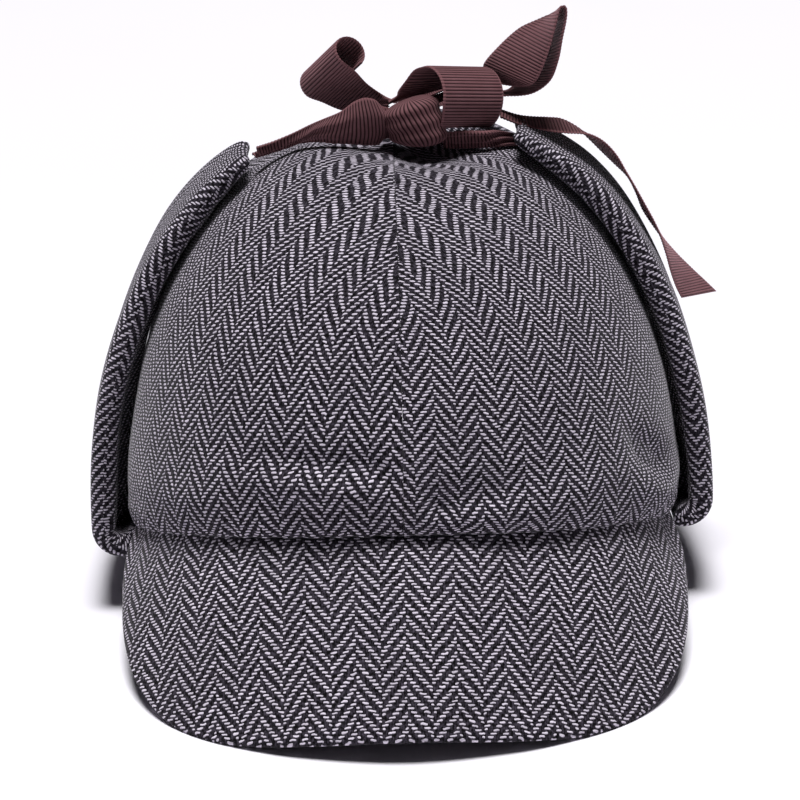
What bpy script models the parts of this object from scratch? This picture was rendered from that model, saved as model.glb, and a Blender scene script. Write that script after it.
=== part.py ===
"""Deerstalker hat in herringbone tweed, its ear flaps tied up over the crown with a ribbon bow.

Metres, Z up. The front of the hat faces -Y, the wearer's left is +X. The origin is on the
surface that the hat stands on, under the middle of the crown. The hat rests on its two peaks.
"""

import math
from collections import namedtuple

import bmesh
import bpy
from mathutils import Vector

# ---------------------------------------------------------------- driving dimensions
MM = 0.001
TOUCH_GAP = 0.3 * MM            # left between pieces that touch

CROWN_HALF_WIDTH = 88.5 * MM    # at the fullest ring, just above the sewn edge
CROWN_HALF_LENGTH = 100.0 * MM
CROWN_TOP_Z = 152.0 * MM
CROWN_WALL = 2.5 * MM
PLAN_POWER = 2.4                # superellipse powers: 2 is an ellipse, more is boxier
PROFILE_POWER = 2.15
EDGE_TUCK = 0.022               # the wall draws in above the sewn edge, as a share of the width
TUCK_REACH = 0.14               # up to this share of the height
CROWN_LEAN = 0.6 * MM           # the soft crown leans to +X at half height

EDGE_Z_SIDE = 24.4 * MM         # the sewn edge sags at the sides and is lifted by the peaks
EDGE_RISE = 0.34
EDGE_SOFTEN = 20.0 * MM

DIP_CENTRE = (9.0 * MM, -13.0 * MM)  # where the knot presses the top in
DIP_RADIUS = 21.0 * MM
DIP_DEPTH = 9.5 * MM

PEAK_THICKNESS = 3.0 * MM
PEAK_ROOT_Y = 31.0 * MM         # the peak's root ends where the crown's edge reaches this far back
PEAK_CROWNING = 1.5 * MM        # how far the peak bellies out between its root and its edge

FLAP_HALF_THICKNESS = 3.7 * MM
FLAP_FOLD_RADIUS = 5.8 * MM     # middle of the wall, where the flap turns up from the crown's edge
FLAP_FOLD_SHARE = 0.25          # share of the flap's rows that lie in the fold
RIM_ROUNDING = 0.35             # the flap's thickness at its rim, as a share of its full thickness

RIBBON_WIDTH = 25.0 * MM
RIBBON_THICKNESS = 1.0 * MM

# ---------------------------------------------------------------- tables, in millimetres
PeakRow = namedtuple("PeakRow", "at x y z")
# The peak's edge, from the centre line (at 0) round to the end of its root (at 1). The first row
# is across the centre line, so that the edge runs straight over it.
PEAK_EDGE = [
    PeakRow(-0.28, -30.0, 131.3, 3.6),
    PeakRow(0.00, 0.0, 136.2, 6.6),
    PeakRow(0.28, 30.0, 131.3, 3.6),
    PeakRow(0.45, 47.8, 124.3, 0.6),
    PeakRow(0.58, 59.5, 117.6, -0.1),
    PeakRow(0.70, 69.2, 109.0, 0.5),
    PeakRow(0.79, 76.0, 99.5, 3.4),
    PeakRow(0.87, 80.8, 88.0, 7.0),
    PeakRow(0.94, 84.0, 72.5, 11.4),
    PeakRow(1.00, 85.6, 54.0, 17.6),
]

FlapRow = namedtuple("FlapRow", "at half_width middle_y gap_left gap_right thickness")
# The ear flaps above their fold (at 0) up to the tip (at 1). middle_y is the flap's middle, gap
# the air under the flap, thickness a share of the full one.
FLAP_ROWS = [
    FlapRow(0.00, 29.5, 0.0, 4.4, 3.8, 1.00),
    FlapRow(0.25, 30.0, 0.0, 4.3, 2.3, 1.00),
    FlapRow(0.50, 27.0, -1.0, 2.9, 1.7, 1.00),
    FlapRow(0.75, 21.0, -3.0, 1.5, 1.7, 0.95),
    FlapRow(0.90, 16.5, -4.0, 1.0, 1.0, 0.78),
    FlapRow(0.97, 13.5, -5.0, 1.0, 1.0, 0.60),
    FlapRow(1.00, 10.0, -5.0, 1.0, 1.0, 0.40),
]

FlapSide = namedtuple("FlapSide", "name side tip_rise fold_lift fold_start gaps")
# side is +1 for +X; fold_lift raises the fold's middle over the crown's edge, and fold_start is
# the angle at which the flap leaves that edge.
FLAP_SIDES = [
    FlapSide("ear_flap_right", 1, 0.735, 4.0 * MM, math.radians(246), "gap_right"),
    FlapSide("ear_flap_left", -1, 0.705, -1.4 * MM, math.radians(180), "gap_left"),
]

RibbonRow = namedtuple("RibbonRow", "x y z across_x across_y across_z width")
# Each ribbon is a row of sections: its middle, the direction across it, and its width there
# as a share of the full one, where it is gathered.
TIE_LEFT = [
    RibbonRow(-42.6, -13.0, 145.4, 0.34, -0.72, 0.60, 0.22),
    RibbonRow(-37.8, -9.8, 146.1, 0.31, -0.74, 0.59, 0.24),
    RibbonRow(-32.5, -9.5, 147.9, 0.40, -0.64, 0.65, 0.30),
    RibbonRow(-27.5, -11.2, 149.9, 0.38, -0.55, 0.75, 0.37),
    RibbonRow(-22.2, -14.5, 152.0, 0.37, -0.30, 0.88, 0.37),
    RibbonRow(-17.0, -17.0, 153.3, 0.25, -0.17, 0.95, 0.44),
    RibbonRow(-12.4, -17.2, 154.5, 0.07, -0.11, 0.99, 0.54),
    RibbonRow(-8.2, -16.0, 154.6, -0.03, -0.18, 0.98, 0.63),
    RibbonRow(-5.2, -13.6, 153.8, -0.05, -0.19, 0.98, 0.61),
    RibbonRow(-4.1, -10.4, 152.8, -0.02, -0.18, 0.98, 0.52),
    RibbonRow(-2.8, -7.4, 152.0, 0.00, -0.18, 0.98, 0.44),
    RibbonRow(0.4, -5.6, 151.6, 0.00, -0.18, 0.98, 0.38),
]
TIE_RIGHT = [
    RibbonRow(38.9, 5.0, 142.2, -0.16, 0.90, 0.40, 0.20),
    RibbonRow(34.3, -3.0, 145.0, -0.11, 0.46, 0.88, 0.19),
    RibbonRow(28.6, -8.8, 146.6, -0.06, -0.40, 0.91, 0.25),
    RibbonRow(22.1, -10.0, 147.0, -0.05, -0.54, 0.84, 0.30),
    RibbonRow(17.5, -10.2, 147.0, -0.04, -0.53, 0.85, 0.27),
    RibbonRow(15.2, -10.6, 147.0, -0.04, -0.50, 0.86, 0.24),
]
TIE_LEFT_ARCH = -2.2 * MM       # how far the middle of a tie bulges towards the front
TIE_RIGHT_ARCH = 1.1 * MM
LOOP_RIGHT = [
    RibbonRow(3.6, -4.4, 158.4, -0.50, 0.35, 0.80, 0.16),
    RibbonRow(10.0, 6.0, 158.6, -0.70, 0.66, 0.26, 0.24),
    RibbonRow(19.0, 15.2, 159.8, -0.42, 0.89, 0.14, 0.37),
    RibbonRow(27.8, 13.0, 161.2, -0.44, 0.89, 0.10, 0.52),
    RibbonRow(33.6, 6.2, 161.8, -0.50, 0.86, 0.06, 0.80),
    RibbonRow(35.8, 1.0, 164.6, -0.55, 0.83, 0.10, 1.00),
    RibbonRow(38.6, -1.0, 168.6, -0.52, 0.85, 0.12, 1.00),
    RibbonRow(43.9, -0.8, 176.2, -0.34, 0.94, 0.02, 1.00),
    RibbonRow(47.9, -0.2, 180.9, -0.17, 0.97, -0.16, 1.00),
    RibbonRow(50.8, 0.0, 183.8, -0.04, 0.96, -0.28, 1.00),
    RibbonRow(52.4, -0.2, 183.6, -0.03, 0.95, -0.31, 1.00),
    RibbonRow(51.9, -0.6, 180.6, -0.09, 0.94, -0.32, 1.00),
    RibbonRow(49.3, -1.0, 174.2, -0.20, 0.93, -0.30, 1.00),
    RibbonRow(46.8, -0.8, 168.0, -0.30, 0.92, -0.25, 1.00),
    RibbonRow(43.6, 1.0, 162.0, -0.36, 0.91, -0.20, 1.00),
    RibbonRow(39.4, 4.6, 158.0, -0.34, 0.92, -0.16, 0.84),
    RibbonRow(32.5, 10.0, 156.4, -0.28, 0.95, -0.10, 0.60),
    RibbonRow(21.0, 15.0, 155.0, -0.30, 0.94, 0.10, 0.36),
    RibbonRow(9.6, 5.0, 154.0, -0.70, 0.66, 0.26, 0.24),
    RibbonRow(3.8, -4.4, 154.6, -0.50, 0.35, 0.80, 0.16),
]
TAIL_RIGHT = [
    RibbonRow(33.4, 5.4, 151.4, 0.00, 1.00, 0.00, 0.40),
    RibbonRow(39.6, 3.4, 149.4, 0.00, 1.00, 0.00, 0.52),
    RibbonRow(44.6, 2.2, 148.6, 0.00, 1.00, -0.02, 0.68),
    RibbonRow(48.9, 2.0, 148.0, 0.00, 1.00, -0.04, 0.90),
    RibbonRow(53.3, 2.0, 147.4, 0.00, 0.99, -0.06, 1.00),
    RibbonRow(58.3, 2.0, 145.8, 0.00, 0.98, -0.16, 1.00),
    RibbonRow(62.0, 2.0, 143.4, 0.02, 0.96, -0.27, 1.00),
    RibbonRow(65.5, 2.0, 140.4, 0.03, 0.94, -0.33, 1.00),
    RibbonRow(69.2, 2.0, 136.4, 0.05, 0.94, -0.33, 1.00),
    RibbonRow(73.1, 2.2, 131.2, 0.12, 0.94, -0.31, 1.00),
    RibbonRow(75.9, 2.4, 126.0, 0.11, 0.94, -0.32, 1.00),
    RibbonRow(78.4, 2.6, 120.6, 0.08, 0.94, -0.33, 1.00),
    RibbonRow(81.5, 3.0, 115.2, 0.10, 0.94, -0.33, 1.00),
    RibbonRow(84.7, 3.4, 109.7, 0.16, 0.93, -0.33, 1.00),
    RibbonRow(87.8, 4.2, 104.2, 0.26, 0.92, -0.30, 1.00),
    RibbonRow(91.0, 5.2, 98.6, 0.38, 0.89, -0.24, 1.00),
    RibbonRow(94.2, 5.9, 93.6, 0.48, 0.86, -0.19, 1.00),
    RibbonRow(97.0, 6.2, 89.8, 0.55, 0.81, -0.18, 1.00),
]

CurlPlan = namedtuple("CurlPlan", "centre across depth height start end taper_start taper_end")
# A band rolled round an axis that lies across it, from one angle to another: 0 faces the viewer,
# 90 degrees is up. The tapers are its widths at both ends, where the knot gathers it.
LOOP_FRONT = CurlPlan(Vector((19.2, -5.0, 158.7)) * MM, Vector((0.75, 0.63, -0.17)).normalized(),
                      8.5 * MM, 9.4 * MM, math.radians(-62), math.radians(112), 0.86, 1.0)
LOOP_FRONT_FOOT = [
    RibbonRow(15.2, -1.3, 166.3, 0.75, 0.63, -0.17, 0.92),
    RibbonRow(13.2, -1.0, 163.6, 0.78, 0.61, -0.12, 0.94),
    RibbonRow(10.3, -2.1, 161.4, 0.80, 0.59, -0.08, 0.84),
    RibbonRow(6.7, -4.3, 160.1, 0.80, 0.60, -0.05, 0.55),
    RibbonRow(1.0, -7.5, 158.6, 0.80, 0.60, -0.05, 0.22),
]
TAIL_LEFT_CURL = CurlPlan(Vector((-18.4, 1.9, 167.3)) * MM, Vector((0.48, -0.67, 0.565)).normalized(),
                          4.9 * MM, 4.9 * MM, math.radians(-40), math.radians(240), 1.0, 1.0)
TAPER_REACH = math.radians(50)
TAIL_LEFT_FOOT = [
    RibbonRow(-0.9, -3.6, 156.8, 0.45, -0.62, 0.64, 0.24),
    RibbonRow(-5.4, 2.6, 155.4, 0.46, -0.64, 0.61, 0.50),
    RibbonRow(-11.8, 3.4, 157.8, 0.47, -0.66, 0.58, 0.74),
    RibbonRow(-16.8, 0.6, 162.0, 0.48, -0.67, 0.565, 0.92),
]

KNOT_CENTRE = Vector((6.2, -12.8, 153.2)) * MM
KNOT_RADII = Vector((7.7, 5.6, 6.9)) * MM
KNOT_TURN = math.radians(-12)

CLOTH_COLOUR = (0.16, 0.15, 0.17, 1.0)
RIBBON_COLOUR = (0.11, 0.055, 0.055, 1.0)

# mesh steps
PANEL_STEPS = (14, 14)
PEAK_STEPS = (32, 8)
FLAP_STEPS = (12, 24)
RIBBON_ACROSS = 2
NEARLY_ONE = 0.999
NUDGE = 1e-3


# ---------------------------------------------------------------- scene and materials
def clear_scene():
    for item in list(bpy.data.objects):
        bpy.data.objects.remove(item, do_unlink=True)


def new_collection(name):
    group = bpy.data.collections.new(name)
    bpy.context.scene.collection.children.link(group)
    return group


def new_material(name, colour, roughness):
    material = bpy.data.materials.new(name)
    material.use_nodes = True
    shader = material.node_tree.nodes["Principled BSDF"]
    shader.inputs["Base Color"].default_value = colour
    shader.inputs["Roughness"].default_value = roughness
    shader.inputs["Metallic"].default_value = 0.0
    return material


# ---------------------------------------------------------------- helpers
def read_rows(rows, at):
    """The row at a place between the table's rows, on a smooth curve through them."""
    last = len(rows) - 1
    index = 0
    while index < last - 1 and rows[index + 1].at < at:
        index += 1
    low, high = rows[index], rows[index + 1]
    before, after = rows[max(index - 1, 0)], rows[min(index + 2, last)]
    span = high.at - low.at
    share = (at - low.at) / span
    values = []
    for column in range(len(low)):
        slope_low = (high[column] - before[column]) / (high.at - before.at)
        slope_high = (after[column] - low[column]) / (after.at - low.at)
        values.append(hermite(low[column], high[column], slope_low * span, slope_high * span, share))
    return type(low)(*values)


def hermite(start, end, slope_start, slope_end, share):
    square, cube = share ** 2, share ** 3
    return ((2 * cube - 3 * square + 1) * start + (cube - 2 * square + share) * slope_start
            + (3 * square - 2 * cube) * end + (cube - square) * slope_end)


def surface_normal(surface, u, v):
    """Unit normal of surface(u, v), pointing out when u runs round and v runs up."""
    along_u = surface(u + NUDGE, v) - surface(u - NUDGE, v)
    low, high = max(v - NUDGE, 0.0), min(v + NUDGE, 1.0)
    along_v = surface(u, high) - surface(u, low)
    return along_u.cross(along_v).normalized()


def ease_ends(share):
    """Even steps drawn together towards both ends, where a rim is rounded."""
    return (1 - math.cos(math.pi * share)) / 2


def shell_mesh(steps, skins):
    """A closed wall between two warped grids: skins are the outer and the inner surface."""
    mesh = bmesh.new()
    rims = []
    for skin in skins:
        made = bmesh.ops.create_grid(mesh, x_segments=steps[0], y_segments=steps[1], size=0.5)
        for vertex in made["verts"]:
            vertex.co = skin(vertex.co.x + 0.5, vertex.co.y + 0.5)
        bmesh.ops.remove_doubles(mesh, verts=made["verts"], dist=NUDGE * MM)
        skin_edges = {edge for vertex in made["verts"] if vertex.is_valid for edge in vertex.link_edges}
        rims.extend(edge for edge in skin_edges if edge.is_boundary)
    bmesh.ops.bridge_loops(mesh, edges=rims)
    bmesh.ops.recalc_face_normals(mesh, faces=mesh.faces)
    return mesh


def flatten_on_floor(mesh):
    """Presses what would reach below the floor into a flat face at Z = 0."""
    geometry = list(mesh.verts) + list(mesh.edges) + list(mesh.faces)
    bmesh.ops.bisect_plane(mesh, geom=geometry, plane_co=(0, 0, 0), plane_no=(0, 0, -1), clear_outer=True)
    open_edges = [edge for edge in mesh.edges if edge.is_boundary]
    bmesh.ops.holes_fill(mesh, edges=open_edges, sides=0)
    bmesh.ops.recalc_face_normals(mesh, faces=mesh.faces)


def finish(name, mesh, material, group):
    data = bpy.data.meshes.new(name)
    mesh.to_mesh(data)
    mesh.free()
    data.materials.append(material)
    data.shade_smooth()
    data.set_sharp_from_angle(angle=math.radians(40))
    piece = bpy.data.objects.new(name, data)
    group.objects.link(piece)
    return piece


# ---------------------------------------------------------------- crown
def edge_height(y):
    """Height of the crown's sewn edge, lowest at the sides of the hat."""
    return EDGE_Z_SIDE + EDGE_RISE * (math.hypot(y, EDGE_SOFTEN) - EDGE_SOFTEN)


def plan_share(theta):
    """Share of the half width and half length that the crown's plan reaches at an angle."""
    corner = abs(math.cos(theta)) ** PLAN_POWER + abs(math.sin(theta)) ** PLAN_POWER
    return corner ** (-1 / PLAN_POWER)


def dome_point(theta, rise, foot_z):
    """The plain dome at an angle round the hat; rise is 0 at its foot and 1 at its top."""
    angle = min(max(rise, 0.0), 1.0) * math.pi / 2
    spread = max(math.cos(angle), 0.0) ** (2 / PROFILE_POWER) * plan_share(theta)
    lift = math.sin(angle) ** (2 / PROFILE_POWER)
    x = CROWN_HALF_WIDTH * math.cos(theta) * spread + CROWN_LEAN * math.sin(math.pi * lift)
    y = CROWN_HALF_LENGTH * math.sin(theta) * spread
    return Vector((x, y, foot_z + (CROWN_TOP_Z - foot_z) * lift))


def plan_angle(share):
    """Angle at which the plan's outline reaches a share of its half length, from the side."""
    across = (1 - abs(share) ** PLAN_POWER) ** (1 / PLAN_POWER)
    return math.atan2(share, across)


def crown_point(theta, rise):
    """The crown's outer face: the dome, drawn in at its sewn edge and dipped under the bow."""
    foot_z = edge_height(CROWN_HALF_LENGTH * math.sin(theta) * plan_share(theta))
    point = dome_point(theta, rise, foot_z)
    height = (point.z - foot_z) / (CROWN_TOP_Z - foot_z)
    tuck = EDGE_TUCK * max(0.0, 1 - height / TUCK_REACH) ** 2
    point.x *= 1 - tuck
    point.y *= 1 - tuck
    away = math.hypot(point.x - DIP_CENTRE[0], point.y - DIP_CENTRE[1]) / DIP_RADIUS
    point.z -= DIP_DEPTH * math.exp(-away ** 2)
    return point


def crown_panel(name, quarter, material, group):
    """One of four cloth panels; quarter 0 starts at the +X side seam and runs to the back."""
    start = quarter * math.pi / 2
    middle = start + math.pi / 4
    seam_shift = Vector((math.copysign(TOUCH_GAP / 2, math.cos(middle)),
                         math.copysign(TOUCH_GAP / 2, math.sin(middle)), 0))

    def surface(u, v):
        return crown_point(start + u * math.pi / 2, v)

    def outer(u, v):
        return surface(u, v) + seam_shift

    def inner(u, v):
        inward = Vector((0, 0, -1)) if v > NEARLY_ONE else -surface_normal(surface, u, v)
        point = surface(u, v) + inward * CROWN_WALL
        if point.x * math.cos(middle) < 0:
            point.x = 0.0
        if point.y * math.sin(middle) < 0:
            point.y = 0.0
        return point + seam_shift

    return finish(name, shell_mesh(PANEL_STEPS, (outer, inner)), material, group)


# ---------------------------------------------------------------- peaks
def peak_root_curve(samples=200):
    """Points along the middle of the crown's bottom rim, from the front to the peak's end."""
    end = -plan_angle(PEAK_ROOT_Y / CROWN_HALF_LENGTH)
    points = []
    for index in range(samples + 1):
        theta = -math.pi / 2 + (end + math.pi / 2) * index / samples
        rim = crown_point(theta, 0.0)
        inward = Vector((-math.cos(theta), -math.sin(theta), 0))
        drop = Vector((0, 0, -TOUCH_GAP - PEAK_THICKNESS * 0.37))
        points.append(rim + inward * CROWN_WALL / 2 + drop)
    return points


def point_at_share(points, share):
    """The point at a share of a polyline's length."""
    lengths = [0.0]
    for first, second in zip(points, points[1:]):
        lengths.append(lengths[-1] + (second - first).length)
    target = share * lengths[-1]
    index = 0
    while index < len(points) - 2 and lengths[index + 1] < target:
        index += 1
    span = lengths[index + 1] - lengths[index]
    return points[index].lerp(points[index + 1], (target - lengths[index]) / span)


def peak(name, turn, material, group):
    """A stiffened peak; turn is +1 at the front and -1 at the back."""
    roots = peak_root_curve()

    def middle(u, v):
        across = min(max(2 * u - 1, -1.0), 1.0)
        side = math.copysign(1.0, across)
        row = read_rows(PEAK_EDGE, abs(across))
        root = point_at_share(roots, abs(across))
        edge = Vector((row.x, -row.y, row.z)) * MM
        point = root.lerp(edge, v)
        outwards = Vector((root.x * 0.3, -abs(root.y) * 0.766, abs(root.y) * 0.643)).normalized()
        point += outwards * PEAK_CROWNING * 4 * v * (1 - v)
        point.x *= side
        return point

    def skin(offset):
        def place(u, v):
            point = middle(u, v) + peak_normal(middle, u, v) * offset
            return Vector((point.x * turn, point.y * turn, point.z))
        return place

    half = PEAK_THICKNESS / 2
    mesh = shell_mesh(PEAK_STEPS, (skin(half), skin(-half)))
    flatten_on_floor(mesh)
    return finish(name, mesh, material, group)


def peak_normal(middle, u, v):
    """Normal of the peak, which slopes down from its root: it points up and forwards."""
    inside = min(max(u, 2 * NUDGE), 1 - 2 * NUDGE)
    along_u = middle(inside + NUDGE, v) - middle(inside - NUDGE, v)
    along_v = middle(inside, min(v + NUDGE, 1.0)) - middle(inside, max(v - NUDGE, 0.0))
    return along_v.cross(along_u).normalized()


# ---------------------------------------------------------------- ear flaps
def ear_flap(flap, material, group):
    """A padded flap that leaves the crown's edge, turns up and lies over the crown's side."""
    base_angle = 0.0 if flap.side > 0 else math.pi

    def middle(u, v):
        above = max(0.0, (v - FLAP_FOLD_SHARE) / (1 - FLAP_FOLD_SHARE))
        row = read_rows(FLAP_ROWS, above)
        gap = getattr(row, flap.gaps) * MM
        y = ((2 * ease_ends(u) - 1) * row.half_width * flap.side + row.middle_y) * MM
        rise = above * flap.tip_rise

        def bare(theta, height):
            foot_y = CROWN_HALF_LENGTH * math.sin(theta) * plan_share(theta)
            return dome_point(theta, height, edge_height(foot_y) + flap.fold_lift)

        spread = math.cos(rise * math.pi / 2) ** (2 / PROFILE_POWER)
        theta = base_angle + flap.side * plan_angle(y / (CROWN_HALF_LENGTH * spread))
        normal = surface_normal(bare, theta, rise)
        stand_off = gap + FLAP_HALF_THICKNESS
        point = bare(theta, rise)
        if v >= FLAP_FOLD_SHARE:
            return point + normal * stand_off
        start = flap.fold_start
        angle = start + (2 * math.pi - start) * v / FLAP_FOLD_SHARE
        level = Vector((normal.x, normal.y, 0)).normalized()
        centre = point + level * (stand_off - FLAP_FOLD_RADIUS)
        return centre + FLAP_FOLD_RADIUS * (level * math.cos(angle) + Vector((0, 0, math.sin(angle))))

    def skin(direction):
        def place(u, v):
            above = max(0.0, (v - FLAP_FOLD_SHARE) / (1 - FLAP_FOLD_SHARE))
            row = read_rows(FLAP_ROWS, above)
            from_rim = (1 - abs(2 * ease_ends(u) - 1)) * row.half_width * MM
            rounding = rim_profile(from_rim / FLAP_HALF_THICKNESS)
            inside = min(max(u, 0.02), 0.98)
            normal = surface_normal(middle, inside, v)
            return middle(u, v) + normal * direction * FLAP_HALF_THICKNESS * row.thickness * rounding
        return place

    mesh = shell_mesh(FLAP_STEPS, (skin(1), skin(-1)))
    return finish(flap.name, mesh, material, group)


def rim_profile(distance):
    """Share of the full thickness at a distance from the rim, in half thicknesses."""
    if distance >= 1:
        return 1.0
    return RIM_ROUNDING + (1 - RIM_ROUNDING) * math.sqrt(1 - (1 - distance) ** 2)


# ---------------------------------------------------------------- ribbon
def smooth_stations(rows, steps):
    """Sections evenly spread along a smooth curve through the table's rows."""
    places = [0.0]
    for first, second in zip(rows, rows[1:]):
        places.append(places[-1] + math.dist(first[:3], second[:3]))
    last = len(rows) - 1
    stations = []
    low = 0
    for index in range(steps + 1):
        place = places[-1] * index / steps
        while low < last - 1 and places[low + 1] < place:
            low += 1
        span = places[low + 1] - places[low]
        before, after = max(low - 1, 0), min(low + 2, last)
        values = []
        for column in range(len(rows[low])):
            start, end = rows[low][column], rows[low + 1][column]
            slope_start = (end - rows[before][column]) / (places[low + 1] - places[before])
            slope_end = (rows[after][column] - start) / (places[after] - places[low])
            share = (place - places[low]) / span
            values.append(hermite(start, end, slope_start * span, slope_end * span, share))
        stations.append(RibbonRow(*values))
    return stations


def ribbon(name, rows, steps, material, group, arch=0.0):
    """A band of ribbon through its sections, as a thin closed solid."""
    stations = smooth_stations(rows, steps)

    def band(u, v):
        place = min(max(v, 0.0), 1.0) * steps
        low = min(int(place), steps - 1)
        first, second = stations[low], stations[low + 1]
        row = RibbonRow(*(a + (b - a) * (place - low) for a, b in zip(first, second)))
        across = Vector((row.across_x, row.across_y, row.across_z)).normalized()
        middle = Vector((row.x, row.y, row.z)) * MM
        return middle + across * (u - 0.5) * row.width * RIBBON_WIDTH

    def facing(v):
        """The band's normal at its middle; one for each section, so that its rims stay square."""
        step = 1 / steps
        along = band(0.5, min(v + step, 1.0)) - band(0.5, max(v - step, 0.0))
        return (band(1.0, v) - band(0.0, v)).cross(along).normalized()

    def skin(offset):
        def place(u, v):
            width = stations[min(round(v * steps), steps)].width
            bulge = arch * min(2 * width, 1.0) * (1 - (2 * u - 1) ** 2)
            return band(u, v) + facing(v) * (offset + bulge)
        return place

    half = RIBBON_THICKNESS / 2
    mesh = shell_mesh((RIBBON_ACROSS, steps), (skin(half), skin(-half)))
    return finish(name, mesh, material, group)


def curl_rows(plan, count):
    """Sections of a rolled band."""
    front = plan.across.cross(Vector((0, 0, 1))).normalized()
    upward = front.cross(plan.across).normalized()
    rows = []
    for index in range(count + 1):
        angle = plan.start + (plan.end - plan.start) * index / count
        from_start = min((angle - plan.start) / TAPER_REACH, 1.0)
        from_end = min((plan.end - angle) / TAPER_REACH, 1.0)
        width = min(plan.taper_start + (1 - plan.taper_start) * from_start,
                    plan.taper_end + (1 - plan.taper_end) * from_end)
        point = plan.centre + front * plan.depth * math.cos(angle) + upward * plan.height * math.sin(angle)
        point += plan.across * RIBBON_WIDTH / 2 * (1 - width)
        rows.append(RibbonRow(*(point / MM), *plan.across, width))
    return rows


def bow_knot(material, group):
    """The knot: a pinched lump of ribbon, a little wider than it is high."""
    mesh = bmesh.new()
    bmesh.ops.create_uvsphere(mesh, u_segments=16, v_segments=10, radius=1.0)
    bmesh.ops.scale(mesh, vec=KNOT_RADII, verts=mesh.verts)
    knot = finish("bow_knot", mesh, material, group)
    knot.location = KNOT_CENTRE
    knot.rotation_euler = (0, KNOT_TURN, 0)
    return knot


# ---------------------------------------------------------------- the hat
def stand_on_origin(group):
    """Moves the hat sideways, so that the origin is under the middle of its whole width."""
    bpy.context.view_layer.update()
    reach = [(piece.matrix_world @ vertex.co).x for piece in group.objects for vertex in piece.data.vertices]
    for piece in group.objects:
        piece.location.x -= (min(reach) + max(reach)) / 2


def build_hat():
    clear_scene()
    group = new_collection("deerstalker_hat")
    crown_cloth = new_material("crown_tweed", CLOTH_COLOUR, 0.9)
    peak_cloth = new_material("peak_tweed", CLOTH_COLOUR, 0.9)
    flap_cloth = new_material("flap_tweed", CLOTH_COLOUR, 0.9)
    grosgrain = new_material("grosgrain_ribbon", RIBBON_COLOUR, 0.6)

    panel_names = ("crown_back_right", "crown_back_left", "crown_front_left", "crown_front_right")
    for quarter, name in enumerate(panel_names):
        crown_panel(name, quarter, crown_cloth, group)

    peak("front_peak", 1, peak_cloth, group)
    peak("back_peak", -1, peak_cloth, group)

    for flap in FLAP_SIDES:
        ear_flap(flap, flap_cloth, group)

    bow_knot(grosgrain, group)
    ribbon("ribbon_tie_left", TIE_LEFT, 28, grosgrain, group, TIE_LEFT_ARCH)
    ribbon("ribbon_tie_right", TIE_RIGHT, 16, grosgrain, group, TIE_RIGHT_ARCH)
    ribbon("bow_loop_front", curl_rows(LOOP_FRONT, 9) + LOOP_FRONT_FOOT, 32, grosgrain, group)
    ribbon("bow_loop_right", LOOP_RIGHT, 48, grosgrain, group)
    ribbon("bow_tail_left", TAIL_LEFT_FOOT + curl_rows(TAIL_LEFT_CURL, 10), 32, grosgrain, group)
    ribbon("bow_tail_right", TAIL_RIGHT, 36, grosgrain, group)
    stand_on_origin(group)


build_hat()
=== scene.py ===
# %% [markdown]
# # A deerstalker hat in herringbone tweed
# The hat has a crown of four cloth panels, a stiffened peak at the front and the back, and two
# padded ear flaps that are tied up over the crown with a brown grosgrain bow.
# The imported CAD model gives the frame: this script dresses it, and changes none of its sizes.

# %% Load the frame
import math
from collections import namedtuple
from functools import partial

import bmesh
import bpy
import numpy as np
from mathutils import Matrix, Vector, noise
from mathutils.bvhtree import BVHTree


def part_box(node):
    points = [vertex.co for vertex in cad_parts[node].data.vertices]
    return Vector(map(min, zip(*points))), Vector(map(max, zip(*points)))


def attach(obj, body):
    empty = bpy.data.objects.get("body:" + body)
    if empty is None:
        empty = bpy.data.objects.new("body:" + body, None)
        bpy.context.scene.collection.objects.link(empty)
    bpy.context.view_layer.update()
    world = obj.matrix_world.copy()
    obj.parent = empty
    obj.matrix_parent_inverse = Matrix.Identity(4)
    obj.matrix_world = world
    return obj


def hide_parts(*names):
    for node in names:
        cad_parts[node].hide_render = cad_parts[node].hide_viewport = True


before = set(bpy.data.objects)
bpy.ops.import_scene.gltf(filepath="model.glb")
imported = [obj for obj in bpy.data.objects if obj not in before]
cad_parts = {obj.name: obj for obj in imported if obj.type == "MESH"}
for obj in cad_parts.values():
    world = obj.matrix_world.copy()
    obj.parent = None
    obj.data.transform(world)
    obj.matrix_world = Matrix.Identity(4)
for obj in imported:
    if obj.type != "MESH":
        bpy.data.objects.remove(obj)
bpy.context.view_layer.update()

# %% [markdown]
# ## Sizes
# A millimetre is the natural unit for a hat, so the tables are in millimetres. The front of the
# hat faces -Y. The tables are measured from the crown's middle, and the peaks tell how far the
# whole hat stands to one side of the origin.

# %% Named sizes
MM = 0.001
peak_low, peak_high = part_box("front_peak")
HAT_SHIFT = Vector(((peak_low.x + peak_high.x) / 2, 0, 0))

CROWN_HALF_WIDTH = 88.5 * MM
CROWN_HALF_LENGTH = 100.0 * MM
CROWN_TOP_Z = 152.0 * MM
CROWN_WALL = 2.5 * MM
PLAN_POWER = 2.4              # the crown's outline from above; 2 would be an ellipse
PROFILE_POWER = 2.15          # and from the side
EDGE_TUCK = 0.022             # the crown is drawn in by this share at its sewn edge
TUCK_REACH = 0.14
CROWN_LEAN = 0.6 * MM
EDGE_Z_SIDE = 24.4 * MM       # the edge is lowest at the sides and rises to the front and back
EDGE_RISE = 0.34
EDGE_SOFTEN = 20.0 * MM
EVERY_HEIGHT = (-2.0, -1.0)
# Hollows in the crown's top, under the knot and behind the left tie: the middle, the radius, the
# depth, and the two heights between which it sets in.
DIPS = [
    ((9.0 * MM, -13.0 * MM), 21.0 * MM, 9.5 * MM, EVERY_HEIGHT),
    ((-28.0 * MM, 16.0 * MM), 24.0 * MM, 4.0 * MM, (90 * MM, 140 * MM)),
]
print("the hat stands", round(HAT_SHIFT.x / MM, 2), "mm off the origin")

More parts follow.
